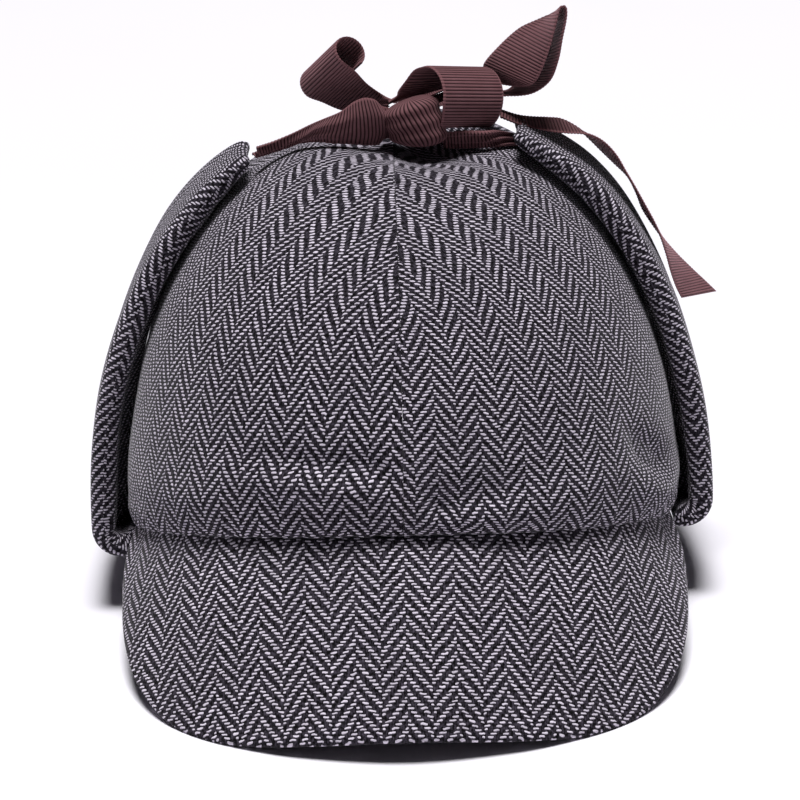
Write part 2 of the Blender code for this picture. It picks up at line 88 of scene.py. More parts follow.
# %% [markdown]
# ## Working with grids of points
# Cloth is a surface with a grain, so each piece starts as a flat grid that is bent into place.
# A sculpted mesh would lose the grain. Keeping the grid keeps two directions, along the warp
# threads and along the weft, and the weave is then laid on the piece as it was cut.


# %% Grid helpers
def crowded_steps(count, crowd):
    """Shares from 0 to 1. A crowd of 1 draws them together towards both ends."""
    even = np.linspace(0, 1, count + 1)
    return even + ((1 - np.cos(np.pi * even)) / 2 - even) * crowd


def grid_normals(points):
    """The unit normal at each point of a grid, with the last row taken from its neighbour."""
    normals = np.cross(np.gradient(points, axis=0), np.gradient(points, axis=1))
    lengths = np.linalg.norm(normals, axis=-1, keepdims=True)
    return normals / np.maximum(lengths, 1e-12)


def run_along(points, axis):
    """How far each point is along its row or column of the grid, in metres."""
    steps = np.linalg.norm(np.diff(points, axis=axis), axis=-1)
    start = np.zeros_like(np.take(steps, [0], axis=axis))
    return np.cumsum(np.concatenate([start, steps], axis=axis), axis=axis)


def smooth_step(value, low, high):
    share = np.clip((value - low) / (high - low), 0, 1)
    return share * share * (3 - 2 * share)


def hermite(start, end, slope_start, slope_end, share):
    square, cube = share ** 2, share ** 3
    return ((2 * cube - 3 * square + 1) * start + (cube - 2 * square + share) * slope_start
            + (3 * square - 2 * cube) * end + (cube - square) * slope_end)


def between_rows(rows, places, at):
    """The values at a place between a table's rows, on a smooth curve through them."""
    last = len(rows) - 1
    low = 0
    while low < last - 1 and places[low + 1] < at:
        low += 1
    high, before, after = low + 1, max(low - 1, 0), min(low + 2, last)
    span = places[high] - places[low]
    share = (at - places[low]) / span
    values = []
    for start, end, ahead, behind in zip(rows[low], rows[high], rows[after], rows[before]):
        slope_start = (end - behind) / (places[high] - places[before])
        slope_end = (ahead - start) / (places[after] - places[low])
        values.append(hermite(start, end, slope_start * span, slope_end * span, share))
    return values


def read_rows(rows, at):
    """The row of a table at a place, which is the table's first column."""
    return type(rows[0])(*between_rows(rows, [row.at for row in rows], at))


def rim_round(distance, radius):
    """Share of the full thickness at a distance from a rounded rim."""
    inside = np.clip(1 - distance / radius, 0, 1)
    return np.sqrt(np.maximum(1 - inside ** 2, 0))


# %% [markdown]
# ## From a grid to a closed piece of cloth
# A piece of cloth is two skins a short way apart. Each skin is a grid that bmesh makes, warped to
# its points, and the skins are bridged where their rims stay apart and merged where they meet.
# The weave's place, counted in threads, is stored as a UV map before the two are joined.


# %% Cloth builder
WALL_THREADS = 2.6            # threads shown across the cut edge of a thick cloth
MERGE_DISTANCE = 0.002 * MM


def cloth_piece(name, skins, weaves, material):
    """A closed shell from one or two grids of points, with a weave map for each. It takes the
    place of the CAD node of the same name."""
    mesh = bmesh.new()
    weave_map = mesh.loops.layers.uv.new("weave")
    columns, rows = skins[0].shape[0] - 1, skins[0].shape[1] - 1
    column_of, row_of = mesh.verts.layers.int.new("column"), mesh.verts.layers.int.new("row")
    skin_of = mesh.verts.layers.int.new("skin")
    for skin, (points, weave) in enumerate(zip(skins, weaves)):
        made = bmesh.ops.create_grid(mesh, x_segments=columns, y_segments=rows, size=0.5)["verts"]
        for vert in made:
            vert[column_of] = round((vert.co.x + 0.5) * columns)
            vert[row_of] = round((vert.co.y + 0.5) * rows)
            vert[skin_of] = skin
            vert.co = points[vert[column_of], vert[row_of]]
        for face in {face for vert in made for face in vert.link_faces}:
            for loop in face.loops:
                loop[weave_map].uv = weave[loop.vert[column_of], loop.vert[row_of]]
    bmesh.ops.remove_doubles(mesh, verts=mesh.verts, dist=MERGE_DISTANCE)
    rims = [edge for edge in mesh.edges if edge.is_boundary]
    if rims:
        bridge = bmesh.ops.bridge_loops(mesh, edges=rims)["faces"]
        for face in bridge:
            for loop in face.loops:
                rim = weaves[0][loop.vert[column_of], loop.vert[row_of]]
                loop[weave_map].uv = rim + WALL_THREADS * loop.vert[skin_of]
    bmesh.ops.recalc_face_normals(mesh, faces=mesh.faces)
    for layer in ("column", "row", "skin"):
        mesh.verts.layers.int.remove(mesh.verts.layers.int[layer])
    bmesh.ops.translate(mesh, vec=HAT_SHIFT, verts=mesh.verts)

    data = bpy.data.meshes.new(name + "_cloth")
    mesh.to_mesh(data)
    mesh.free()
    data.materials.append(material)
    data.shade_smooth()
    piece = bpy.data.objects.new(name + "_cloth", data)
    bpy.context.scene.collection.objects.link(piece)
    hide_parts(name)
    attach(piece, "root")
    print(name, "has", len(data.polygons), "faces")
    return piece


def cloth_area(piece):
    """The area of one face of a cloth, in square metres."""
    return sum(face.area for face in piece.data.polygons) / 2


def relief(points, scale, seed):
    """Smooth random height from -1 to 1 at each point of a grid; scale is its size in metres."""
    shape = points.shape[:-1]
    shift = Vector((seed, 0, 0))
    flat = (noise.noise(Vector(point) / scale + shift) for point in points.reshape(-1, 3))
    return np.fromiter(flat, float, count=int(np.prod(shape))).reshape(shape)


def swells(points, table):
    """The sum of several reliefs; each row of the table is a height, a size and a seed."""
    return sum(height * relief(points, size, seed) for height, size, seed in table)


# %% [markdown]
# ## Herringbone tweed
# The cloth is wool, woven in a 2/2 twill that turns round every eight threads, so that its
# diagonals make a zigzag. The warp is nearly black and the weft nearly white. A picture of the
# cloth would blur and repeat, so the nodes work out which thread is on top at each place, as a
# loom does. The weave map counts warp threads in x and weft threads in y.


# %% A node with its settings and links
def put(tree, kind, inputs=(), output=0, **settings):
    """Adds a node, sets its properties, links or fills its inputs, and returns one output."""
    node = tree.nodes.new("ShaderNode" + kind)
    for name, value in settings.items():
        setattr(node, name, value)
    pairs = inputs.items() if isinstance(inputs, dict) else enumerate(inputs)
    for key, value in pairs:
        if isinstance(value, bpy.types.NodeSocket):
            tree.links.new(value, node.inputs[key])
        else:
            node.inputs[key].default_value = value
    return node.outputs[output] if len(node.outputs) else None


def hex_colour(code):
    """An sRGB hex colour as the linear values that Blender's sockets take."""
    parts = [int(code[index:index + 2], 16) / 255 for index in (1, 3, 5)]
    linear = [part / 12.92 if part <= 0.04045 else ((part + 0.055) / 1.055) ** 2.4
              for part in parts]
    return (*linear, 1.0)


def new_material(name):
    """An empty material, and the function that adds nodes to its tree."""
    material = bpy.data.materials.new(name)
    material.use_nodes = True
    material.node_tree.nodes.clear()
    return material, partial(put, material.node_tree)


# %% [markdown]
# The loom's rule: thread k of the warp has the number c, which climbs from 0 to 7 and falls back.
# Where (c + weft row) leaves 0 or 1 when divided by four, the weft is on top. Two steps are added
# on the falling half, and that cuts the zigzag's points short as a weaver does.

# %% The tweed's rules
THREADS_UP = 8.0            # warp threads in one diagonal; the next one falls over as many
DASH_HALF_HEIGHT = 0.28     # of a weft thread's pitch; the dark warp fills what is left
DASH_TILT = 0.07            # a weft float leans along its diagonal
DASH_REACH = 0.85           # below 1, so that a float's ends nearly touch the next one's
DASH_EDGE = (-0.45, 0.60)   # where the float's soft edge starts and ends
THREAD_DRIFTS = [(0.16, 1.4), (0.7, 0.62)]   # noise scale and threads: slow waves, then a shake
HAIR_SCALE, MOTTLE_SCALE, CLOUD_SCALE = 3.1, 0.9, 0.035
YARN_RELIEF = 0.30 * MM

# Each step is a name for the result, an operation, and names or numbers to work on.
WEAVE_RULE = [
    # The warp thread and the weft row, and the place inside both.
    ("end", "FLOOR", "ends"),
    ("pick", "FLOOR", "picks"),
    ("in_end", "SUBTRACT", "ends", "end"),
    ("in_pick", "SUBTRACT", "picks", "pick"),
    # The thread's number, and whether its diagonal falls.
    ("end_middle", "ADD", "end", 0.5),
    ("zigzag", "PINGPONG", "end_middle", THREADS_UP),
    ("climb", "FLOOR", "zigzag"),
    ("in_repeat", "FLOORED_MODULO", "end", 2 * THREADS_UP),
    ("falling", "GREATER_THAN", "in_repeat", THREADS_UP - 0.5),
    # The twill: the weft is on top of two threads in four.
    ("cut_over", "MULTIPLY_ADD", "falling", 2.0, "climb"),
    ("step", "ADD", "cut_over", "pick"),
    ("phase", "FLOORED_MODULO", "step", 4.0),
    ("weft_up", "LESS_THAN", "phase", 1.5),
    # Which of its float's two threads this is, and the float's first thread.
    ("turned", "MULTIPLY_ADD", "phase", -2.0, 1.0),
    ("place_in_float", "MULTIPLY_ADD", "falling", "turned", "phase"),
    ("first_end", "SUBTRACT", "end", "place_in_float"),
    # A float at a zigzag's point or foot is one thread long.
    ("is_top", "COMPARE", "climb", THREADS_UP - 1, 0.2),
    ("is_first", "COMPARE", "phase", 0.0, 0.2),
    ("at_point", "MULTIPLY", "is_top", "is_first"),
    ("is_low", "COMPARE", "climb", 0.0, 0.2),
    ("is_second", "COMPARE", "phase", 1.0, 0.2),
    ("at_foot", "MULTIPLY", "is_low", "is_second"),
    ("short", "MAXIMUM", "at_point", "at_foot"),
    ("long", "SUBTRACT", 1.0, "short"),
    # The way along the float, from -1 to 1.
    ("passed", "ADD", "place_in_float", "in_end"),
    ("long_run", "SUBTRACT", "passed", 1.0),
    ("short_run", "MULTIPLY_ADD", "in_end", 2.0, -1.0),
    ("long_share", "MULTIPLY", "long", "long_run"),
    ("short_share", "MULTIPLY", "short", "short_run"),
    ("run", "ADD", "short_share", "long_share"),
    # The float is a leaning oval with blunt ends; inside is 1 at its middle and 0 at its rim.
    ("diagonal", "MULTIPLY_ADD", "falling", -2.0, 1.0),
    ("lean", "MULTIPLY", "diagonal", DASH_TILT),
    ("off_middle", "SUBTRACT", "in_pick", 0.5),
    ("leaning", "MULTIPLY_ADD", "lean", "run", "off_middle"),
    ("across", "DIVIDE", "leaning", DASH_HALF_HEIGHT),
    ("beside", "ABSOLUTE", "across"),
    ("side_round", "POWER", "beside", 2.0),
    ("reach", "MULTIPLY", "run", DASH_REACH),
    ("ahead", "ABSOLUTE", "reach"),
    ("end_round", "POWER", "ahead", 3.0),
    ("roundness", "ADD", "side_round", "end_round"),
    ("inside", "SUBTRACT", 1.0, "roundness"),
]
YARN_RULE = [
    ("dash", "MULTIPLY", "soft_dash", "weft_up"),
    # How pale the weft is: each float has its own shade, with paler hairs and faint clouds.
    ("pale_hair", "MULTIPLY_ADD", "hair", 0.75, 0.18),
    ("pale_float", "MULTIPLY_ADD", "each", 0.30, "pale_hair"),
    ("clouds", "SUBTRACT", "cloud", 0.5),
    ("pale", "MULTIPLY_ADD", "clouds", 0.5, "pale_float"),
    # How grey the warp is: hairs and flecks of the weft show, and painted light makes each
    # thread paler in its middle and darker between threads.
    ("from_thread", "SUBTRACT", "in_end", 0.5),
    ("threads", "ABSOLUTE", "from_thread"),
    # Painted highlight: the warp is lighter at a thread's middle and darker towards its sides.
    ("thread_shade", "MULTIPLY_ADD", "threads", -0.6, -1.30),
    ("hair_shade", "MULTIPLY_ADD", "hair", 0.8, "thread_shade"),
    ("grain", "MULTIPLY_ADD", "mottle", 2.6, "hair_shade"),
    # The relief: a round float over round warp threads, with hairs on both.
    ("over_rim", "MAXIMUM", "inside", 0.0),
    ("dome", "SQRT", "over_rim"),
    ("yarn", "MULTIPLY", "dome", "weft_up"),
    ("squared", "POWER", "threads", 2.0),
    ("bulge", "MULTIPLY_ADD", "squared", -4.0, 1.0),
    ("over_gap", "MAXIMUM", "bulge", 0.0),
    ("warp_round", "SQRT", "over_gap"),
    ("warp_up", "SUBTRACT", 1.0, "weft_up"),
    ("warp_yarn", "MULTIPLY", "warp_round", "warp_up"),
    ("hairy", "MULTIPLY_ADD", "hair", 0.35, "yarn"),
    ("height", "MULTIPLY_ADD", "warp_yarn", 0.45, "hairy"),
]

# %% [markdown]
# Herringbone wool is matt and a little hairy. Its threads scatter light, so it has a low specular
# level and a faint sheen at grazing angles. The rules above become nodes one by one, and the noise
# gives each thread a slight wander, a shade of its own and hairs.


# %% The tweed material
def tweed(name, dark, light, seed):
    material, add = new_material(name)
    place = add("UVMap", uv_map="weave")
    bent = place
    for scale, size in THREAD_DRIFTS:
        drift = add("TexNoise", {"Vector": place, "W": seed, "Scale": scale, "Detail": 1.0},
                    output=1, noise_dimensions="4D")
        drift = add("VectorMath", (drift, (0.5, 0.5, 0.5)), operation="SUBTRACT")
        drift = add("VectorMath", {0: drift, "Scale": size}, operation="SCALE")
        bent = add("VectorMath", (bent, drift), operation="ADD")
    ends = add("SeparateXYZ", (bent,))
    known = {"ends": ends, "picks": ends.node.outputs[1]}
    for step, operation, *parts in WEAVE_RULE:
        known[step] = add("Math", [known.get(part, part) for part in parts], operation=operation)

    stamp = add("CombineXYZ", (known["first_end"], known["pick"], seed))
    known["each"] = add("TexWhiteNoise", (stamp,), noise_dimensions="3D")
    known["hair"] = add("TexNoise", {"Vector": bent, "Scale": HAIR_SCALE, "Detail": 3.0,
                                     "Roughness": 0.7})
    known["mottle"] = add("TexNoise", {"Vector": place, "Scale": MOTTLE_SCALE, "Detail": 2.0,
                                       "Roughness": 0.6})
    known["cloud"] = add("TexNoise", {"Vector": place, "Scale": CLOUD_SCALE, "Detail": 2.0})
    known["soft_dash"] = add("MapRange", {"Value": known["inside"], "From Min": DASH_EDGE[0],
                                          "From Max": DASH_EDGE[1]},
                             interpolation_type="SMOOTHSTEP")
    for step, operation, *parts in YARN_RULE:
        known[step] = add("Math", [known.get(part, part) for part in parts], operation=operation)

    # The warp's colour carries the painted highlight in the middle of each thread.
    warp, weft = (add("Mix", {"Factor": known[share], "A": hex_colour(low), "B": hex_colour(high)},
                      output=2, data_type="RGBA")
                  for share, (low, high) in (("grain", dark), ("pale", light)))
    colour = add("Mix", {"Factor": known["dash"], "A": warp, "B": weft}, output=2,
                 data_type="RGBA")
    matt = add("MapRange", {"Value": known["hair"], "To Min": 0.78, "To Max": 0.96})
    bump = add("Bump", {"Strength": 0.75, "Distance": YARN_RELIEF, "Height": known["height"]})
    shader = add("BsdfPrincipled", {"Base Color": colour, "Roughness": matt, "Normal": bump,
                                    "Specular IOR Level": 0.12, "Sheen Weight": 0.16,
                                    "Sheen Roughness": 0.30})
    add("OutputMaterial", {"Surface": shader})
    return material


TWEED_DARK = ("#060407", "#4E4854")
TWEED_LIGHT = ("#78717F", "#EEE5F4")
crown_tweed = tweed("herringbone_wool_crown", TWEED_DARK, TWEED_LIGHT, 3.0)
peak_tweed = tweed("herringbone_wool_peak", TWEED_DARK, TWEED_LIGHT, 11.0)
flap_tweed = tweed("herringbone_wool_flap", TWEED_DARK, TWEED_LIGHT, 23.0)
print("tweed nodes:", len(crown_tweed.node_tree.nodes))

# %% [markdown]
# ## The crown
# Four cloth panels are sewn edge to edge and meet under the bow. They were cut flat with curved
# sides, so the zigzag runs down the middle of each panel and is cut off at a slant by its seams.
# The panels are laid on the crown's own dome. Their edges turn inwards at each seam, and soft
# folds lie where the cloth gathers above the peak.

# %% The dome
DASH_PER_MM = 1 / 0.805      # warp threads in a millimetre of the crown's cloth


def edge_height(y):
    return EDGE_Z_SIDE + EDGE_RISE * (np.hypot(y, EDGE_SOFTEN) - EDGE_SOFTEN)


def plan_share(theta):
    corner = np.abs(np.cos(theta)) ** PLAN_POWER + np.abs(np.sin(theta)) ** PLAN_POWER
    return corner ** (-1 / PLAN_POWER)


def dome_points(theta, rise, foot_z):
    angle = rise * np.pi / 2
    spread = np.maximum(np.cos(angle), 0) ** (2 / PROFILE_POWER) * plan_share(theta)
    lift = np.sin(angle) ** (2 / PROFILE_POWER)
    x = CROWN_HALF_WIDTH * np.cos(theta) * spread + CROWN_LEAN * np.sin(np.pi * lift)
    y = CROWN_HALF_LENGTH * np.sin(theta) * spread
    return np.stack([x, y, foot_z + (CROWN_TOP_Z - foot_z) * lift], axis=-1)


def plan_angle(share):
    """Angle at which the plan's outline reaches a share of its half length, from the side."""
    across = (1 - abs(share) ** PLAN_POWER) ** (1 / PLAN_POWER)
    return math.atan2(share, across)


def crown_points(theta, rise):
    """The crown's outer face: the dome, drawn in at its sewn edge and dipped under the bow."""
    foot_z = edge_height(CROWN_HALF_LENGTH * np.sin(theta) * plan_share(theta))
    points = dome_points(theta, rise, foot_z)
    height = (points[..., 2] - foot_z) / (CROWN_TOP_Z - foot_z)
    tuck = EDGE_TUCK * np.maximum(0.0, 1 - height / TUCK_REACH) ** 2
    points[..., 0] *= 1 - tuck
    points[..., 1] *= 1 - tuck
    for (x, y), radius, depth, zone in DIPS:
        away = np.hypot(points[..., 0] - x, points[..., 1] - y) / radius
        points[..., 2] -= depth * np.exp(-away ** 2) * smooth_step(points[..., 2], *zone)
    return points


# %% [markdown]
# The folds are soft ridges and hollows. Each is a stretched bell shape on the face of the crown,
# with a place, a direction, a length and a height, so that one short table holds them all.

# %% Folds of the crown
Fold = namedtuple("Fold", "x z turn_deg length width height facing")
# x and z are seen from the front, in millimetres; a facing of -1 is the front and +1 the back.
CROWN_FOLDS = [
    Fold(-25.0, 68.0, -3, 19.0, 4.6, 1.5, -1),
    Fold(-25.0, 74.5, -2, 20.0, 4.0, -0.9, -1),
    Fold(-5.0, 71.0, -50, 9.0, 3.2, -0.9, -1),
    Fold(2.0, 66.0, -42, 10.0, 3.0, 0.7, -1),
    Fold(10.0, 62.5, -35, 8.0, 3.4, -0.9, -1),
    Fold(22.0, 65.0, 6, 13.0, 5.0, -0.8, -1),
    Fold(24.0, 59.0, 2, 16.0, 4.0, 0.6, -1),
    Fold(76.0, 60.0, -58, 15.0, 3.2, -1.6, -1),
    Fold(79.0, 49.0, -40, 12.0, 5.0, 1.2, -1),
    Fold(-62.0, 58.0, 20, 14.0, 5.0, 0.6, -1),
    Fold(48.0, 60.0, 12, 16.0, 5.0, 0.5, -1),
    Fold(30.0, 67.0, 4, 19.0, 4.8, 1.2, 1),
    Fold(28.0, 74.0, 6, 18.0, 4.2, -0.9, 1),
    Fold(-20.0, 66.0, -14, 14.0, 4.0, -0.8, 1),
    Fold(-36.0, 60.0, -6, 15.0, 4.6, 0.9, 1),
    Fold(-70.0, 60.0, 38, 12.0, 4.6, -0.9, 1),
]
FOLD_STRENGTH = 2.3
EDGE_PUCKER = 0.34 * MM
EDGE_PUCKER_PITCH = 7.5 * MM
EDGE_PUCKER_REACH = 9.0 * MM
EDGE_ROUNDING = 0.5 * MM
SEAM_ROUNDING = 0.35 * MM
SEAM_GAP = 0.05 * MM


def fold_height(points):
    """The folds' height at each point of the crown."""
    x, y, z = (points[..., axis] / MM for axis in range(3))
    height = np.zeros(x.shape)
    for fold in CROWN_FOLDS:
        turn = math.radians(fold.turn_deg)
        along = (x - fold.x) * math.cos(turn) + (z - fold.z) * math.sin(turn)
        beside = (z - fold.z) * math.cos(turn) - (x - fold.x) * math.sin(turn)
        bell = np.exp(-(along / fold.length) ** 2 - (beside / fold.width) ** 2)
        height += fold.height * bell * (y * fold.facing > 0)
    return height * FOLD_STRENGTH * MM


# %% [markdown]
# A panel is a quarter of the dome. Its zigzag is counted from its middle, and bends low down to
# run beside the seam in front. Its wall is as thick as the cloth, and square at its four seams.

# %% Panels of the crown
Panel = namedtuple("Panel", "name quarter middle_seam pick_mm end_offset pick_offset")
# middle_seam is +1 where the seam on the hat's middle line is at the panel's far side, else -1.
CROWN_PANELS = [
    Panel("crown_back_right", 0, 1, 1.02, 3.0, 1.0),
    Panel("crown_back_left", 1, -1, 1.02, 9.0, 3.0),
    Panel("crown_front_left", 2, 1, 1.094, 5.0, 0.0),
    Panel("crown_front_right", 3, -1, 0.954, 3.0, 0.0),
]
PANEL_GRID = (132, 132)
CROWN_SWELLS = [(0.45 * MM, 34 * MM, 5.0), (0.16 * MM, 11 * MM, 9.0)]
HEM_HEIGHT = 0.6 * MM         # the turned-in edge lifts the cloth just above the peak
HEM_PLACE = 5.5 * MM
HEM_REACH = 3.2 * MM
SEAM_CALM = 5.0 * MM          # this near a seam the swells fade out
SEAM_PRESS = 0.8 * MM
SEAM_SQUARE = 6.0 * MM        # this near a seam the wall turns square to the hat
TOP_ZONE = (0.78, 0.94)       # shares of the rise where the wall's inside turns straight down
GRAIN_STRAIGHT = 0.85         # low down, the grain follows the seam on the hat's middle line
GRAIN_ZONE = (0.30, 0.66)


def crown_panel(panel):
    start = panel.quarter * math.pi / 2
    middle = start + math.pi / 4
    lean = (math.copysign(SEAM_GAP / 2, math.cos(middle)),
            math.copysign(SEAM_GAP / 2, math.sin(middle)), 0)
    turns = start + crowded_steps(PANEL_GRID[0], 0.72)[:, None] * math.pi / 2
    rises = crowded_steps(PANEL_GRID[1], 0.45)[None, :]
    turns, rises = np.broadcast_arrays(turns, rises)
    base = crown_points(turns, rises)
    normals = grid_normals(base)
    normals[:, -1] = (0, 0, 1)

    across, upward = run_along(base, 0), run_along(base, 1)
    from_seam = np.minimum(across, across[-1:] - across)
    swell = fold_height(base) + swells(base, CROWN_SWELLS)
    edge_fade = np.exp(-(upward / EDGE_PUCKER_REACH) ** 2)
    pucker_turn = 2 * np.pi * across[:, :1] / EDGE_PUCKER_PITCH + panel.quarter
    swell += EDGE_PUCKER * edge_fade * np.sin(pucker_turn)
    swell *= smooth_step(from_seam, 0, SEAM_CALM)
    swell += HEM_HEIGHT * np.exp(-((upward - HEM_PLACE) / HEM_REACH) ** 2)
    swell *= np.clip(from_seam / SEAM_PRESS, 0, 1)
    for distance, radius in ((from_seam, SEAM_ROUNDING), (upward, EDGE_ROUNDING)):
        swell -= radius * (1 - rim_round(distance, radius))
    swell[:, -1] = 0.0
    outer = base + normals * swell[..., None] + lean

    straight_down = smooth_step(rises, *TOP_ZONE)[..., None]
    inward = normals * (1 - straight_down) + np.array((0, 0, 1.0)) * straight_down
    seam_normal = np.array(((math.sin(start), -math.cos(start), 0),
                            (math.cos(start), math.sin(start), 0)))
    for edge, plane in zip((across, across[-1:] - across), np.abs(seam_normal)):
        near = np.clip(1 - edge / SEAM_SQUARE, 0, 1)[..., None]
        inward = inward * (1 - near * plane)
    inner = base - inward / np.linalg.norm(inward, axis=-1, keepdims=True) * CROWN_WALL + lean

    half = across[-1:] / 2
    from_middle = across - half
    towards_seam = np.clip(from_middle / half * panel.middle_seam, 0, 1)
    straight = smooth_step(towards_seam, 0, 1) * (1 - smooth_step(rises, *GRAIN_ZONE))
    straight = straight * GRAIN_STRAIGHT
    from_middle = from_middle + panel.middle_seam * straight * (half[:, :1] - half)
    ends = from_middle / MM * DASH_PER_MM + panel.end_offset
    picks = upward / MM / panel.pick_mm + panel.pick_offset
    ends[:, -1] = ends[:, -2]
    weave = np.stack([ends, picks], axis=-1)
    piece = cloth_piece(panel.name, (outer, inner), (weave, weave), crown_tweed)
    print(f"{panel.name}: cut {across.max() / MM:.0f} by {upward.max() / MM:.0f} mm,",
          f"{cloth_area(piece) / MM ** 2:.0f} square mm of cloth")
    return piece


crown_pieces = []
for panel in CROWN_PANELS:
    cloth = crown_panel(panel)
    crown_pieces.append(cloth)

# %% [markdown]
# ## The peaks
# Each peak is a stiff board with cloth on both sides, bent round the forehead. The board bends
# in one direction only, so the cloth lies on it as on a rolled sheet and its zigzag runs straight
# forwards. The peak stands on the table at two low places, where it is pressed flat.

# %% Peaks
PEAK_THICKNESS = 3.0 * MM
PEAK_ROOT_Y = 31.0 * MM
PEAK_ROOT_DROP = 1.31 * MM    # of the root's middle, which leaves a slit of about 0.2 mm above it
PEAK_SIDE_TUCK = 0.55 * MM    # towards its ends the root is sewn up into the crown's edge
PEAK_CROWNING = 1.5 * MM
PEAK_END_MM = 0.895
PEAK_PICK_MM = 1.07
PeakRow = namedtuple("PeakRow", "at x y z")
PEAK_EDGE = [
    PeakRow(-0.28, -30.0, 131.3, 3.6),
    PeakRow(0.00, 0.0, 136.2, 6.6),
    PeakRow(0.28, 30.0, 131.3, 3.6),
    PeakRow(0.45, 47.8, 124.3, 0.6),
    PeakRow(0.58, 59.5, 117.6, -0.1),
    PeakRow(0.70, 69.2, 109.0, 0.5),
    PeakRow(0.79, 76.0, 99.5, 3.4),
    PeakRow(0.87, 80.8, 88.0, 7.0),
    PeakRow(0.94, 84.0, 72.5, 11.4),
    PeakRow(1.00, 85.6, 54.0, 17.6),
]
PEAK_GRID = (180, 64)
PEAK_CALM = 4.0 * MM          # this near the rim the cloth is pulled flat on the board
PEAK_TILT = (0.3, 0.766, 0.643)   # the board bulges forwards and up
PEAK_ROOT_ROUNDING = 0.3 * MM


def peak_roots(shares):
    """Points along the middle of the crown's bottom rim, at shares of the way to the peak's end."""
    end = -plan_angle(PEAK_ROOT_Y / CROWN_HALF_LENGTH)
    theta = np.linspace(-math.pi / 2, end, 401)
    rim = crown_points(theta, np.zeros_like(theta))
    inward = np.stack([-np.cos(theta), -np.sin(theta), np.zeros_like(theta)], axis=-1)
    # The root reaches under the whole wall, but the slit above its middle isn't closed: a hairline
    # of light shows there from about 10 to 30 degrees above.
    way = np.linspace(0, 1, len(theta))
    under_wall = 0.98 - 0.48 * smooth_step(way, 0.90, 1.0)[:, None]
    rim = rim + inward * CROWN_WALL * under_wall
    rim[:, 2] -= PEAK_ROOT_DROP - PEAK_SIDE_TUCK * smooth_step(way, 0.30, 0.55)
    run = run_along(rim, 0)
    return np.stack([np.interp(shares * run[-1], run, rim[:, axis]) for axis in range(3)], axis=-1)


def peak(name, turn):
    across = 2 * crowded_steps(PEAK_GRID[0], 0.5) - 1
    forward = crowded_steps(PEAK_GRID[1], 0.8)
    rows = [read_rows(PEAK_EDGE, abs(share)) for share in across]
    edge = np.array([(row.x, -row.y, row.z) for row in rows]) * MM
    root = peak_roots(np.abs(across))
    v = forward[None, :, None]
    middle = root[:, None] * (1 - v) + edge[:, None] * v
    forward_run = np.abs(root[:, 1])
    outwards = np.stack([root[:, 0], -forward_run, forward_run], axis=-1) * PEAK_TILT
    outwards /= np.linalg.norm(outwards, axis=-1, keepdims=True)
    middle = middle + outwards[:, None] * PEAK_CROWNING * 4 * v * (1 - v)
    middle[..., 0] *= np.sign(across)[:, None]
    normals = -grid_normals(middle)

    beside, ahead = run_along(middle, 0), run_along(middle, 1)
    half = PEAK_THICKNESS / 2
    from_rim = np.minimum(beside, beside[-1:] - beside)
    from_rim = np.minimum(from_rim, ahead[:, -1:] - ahead)
    thick = rim_round(from_rim, half) * rim_round(ahead, PEAK_ROOT_ROUNDING) * half
    swell = swells(middle, [(0.22 * MM, 26 * MM, 31.0 * turn), (0.10 * MM, 9 * MM, 17.0)])
    swell = swell * np.clip(from_rim / PEAK_CALM, 0, 1) * np.clip(ahead / PEAK_CALM, 0, 1)
    skins = [middle + normals * (thick + swell)[..., None], middle - normals * thick[..., None]]

    slope = edge[len(edge) // 2] - root[len(root) // 2]
    slope = slope / np.linalg.norm(slope)
    weaves = []
    for skin, flip in zip(skins, (1, -1)):
        lengths = skin @ slope
        steps = np.diff(skin, axis=0)
        beside_slope = (steps ** 2).sum(-1) - (steps @ slope) ** 2
        flat_steps = np.sqrt(np.maximum(beside_slope, 0))
        spread = np.concatenate([np.zeros((1, skin.shape[1])), np.cumsum(flat_steps, axis=0)])
        spread = spread - spread[len(across) // 2]
        ends = spread / MM / PEAK_END_MM + (7 if flip < 0 else 0)
        picks = -flip * (lengths - lengths[:, -1:].max()) / MM / PEAK_PICK_MM
        picks[:, 0] = picks[:, 1] + flip * half / MM / PEAK_PICK_MM
        weaves.append(np.stack([ends, picks], axis=-1))
    placed = []
    for skin in skins:
        skin = skin * np.array((turn, turn, 1.0))
        skin[..., 2] = np.maximum(skin[..., 2], 0.0)
        placed.append(skin)
    return cloth_piece(name, placed, weaves, peak_tweed)


for name, turn in (("front_peak", 1), ("back_peak", -1)):
    peak(name, turn)

# %% [markdown]
# ## The ear flaps
# A flap is two layers of tweed with thin padding between them. It hangs from the crown's edge,
# turns up in a soft fold and lies over the side of the crown, with its tip under the ribbon.
# The flap is built as a closed lens on its middle surface, and Blender's cloth then puffs it up
# a little, because padding under real cloth pulls its rim and face into small uneven swells.

# %% Shape of a flap
FLAP_HALF_THICKNESS = 3.7 * MM
FLAP_FOLD_RADIUS = 5.8 * MM
FLAP_FOLD_SHARE = 0.25
FLAP_END_MM = 0.83
FLAP_PICK_MM = 1.0
FlapRow = namedtuple("FlapRow", "at half_width middle_y gap_left gap_right thickness")
FLAP_ROWS = [
    FlapRow(0.00, 29.5, 0.0, 4.4, 3.8, 1.00),
    FlapRow(0.25, 30.0, 0.0, 4.3, 2.3, 1.00),
    FlapRow(0.50, 27.0, -1.0, 2.9, 1.7, 1.00),
    FlapRow(0.75, 21.0, -3.0, 1.5, 1.7, 0.95),
    FlapRow(0.90, 16.5, -4.0, 1.0, 1.0, 0.78),
    FlapRow(0.97, 13.5, -5.0, 1.0, 1.0, 0.60),
    FlapRow(1.00, 10.0, -5.0, 1.0, 1.0, 0.40),
]
FlapSide = namedtuple("FlapSide", "name side tip_rise fold_lift fold_start gaps")
FLAP_SIDES = [
    FlapSide("ear_flap_right", 1, 0.760, 4.0 * MM, math.radians(246), "gap_right"),
    FlapSide("ear_flap_left", -1, 0.705, -1.4 * MM, math.radians(180), "gap_left"),
]
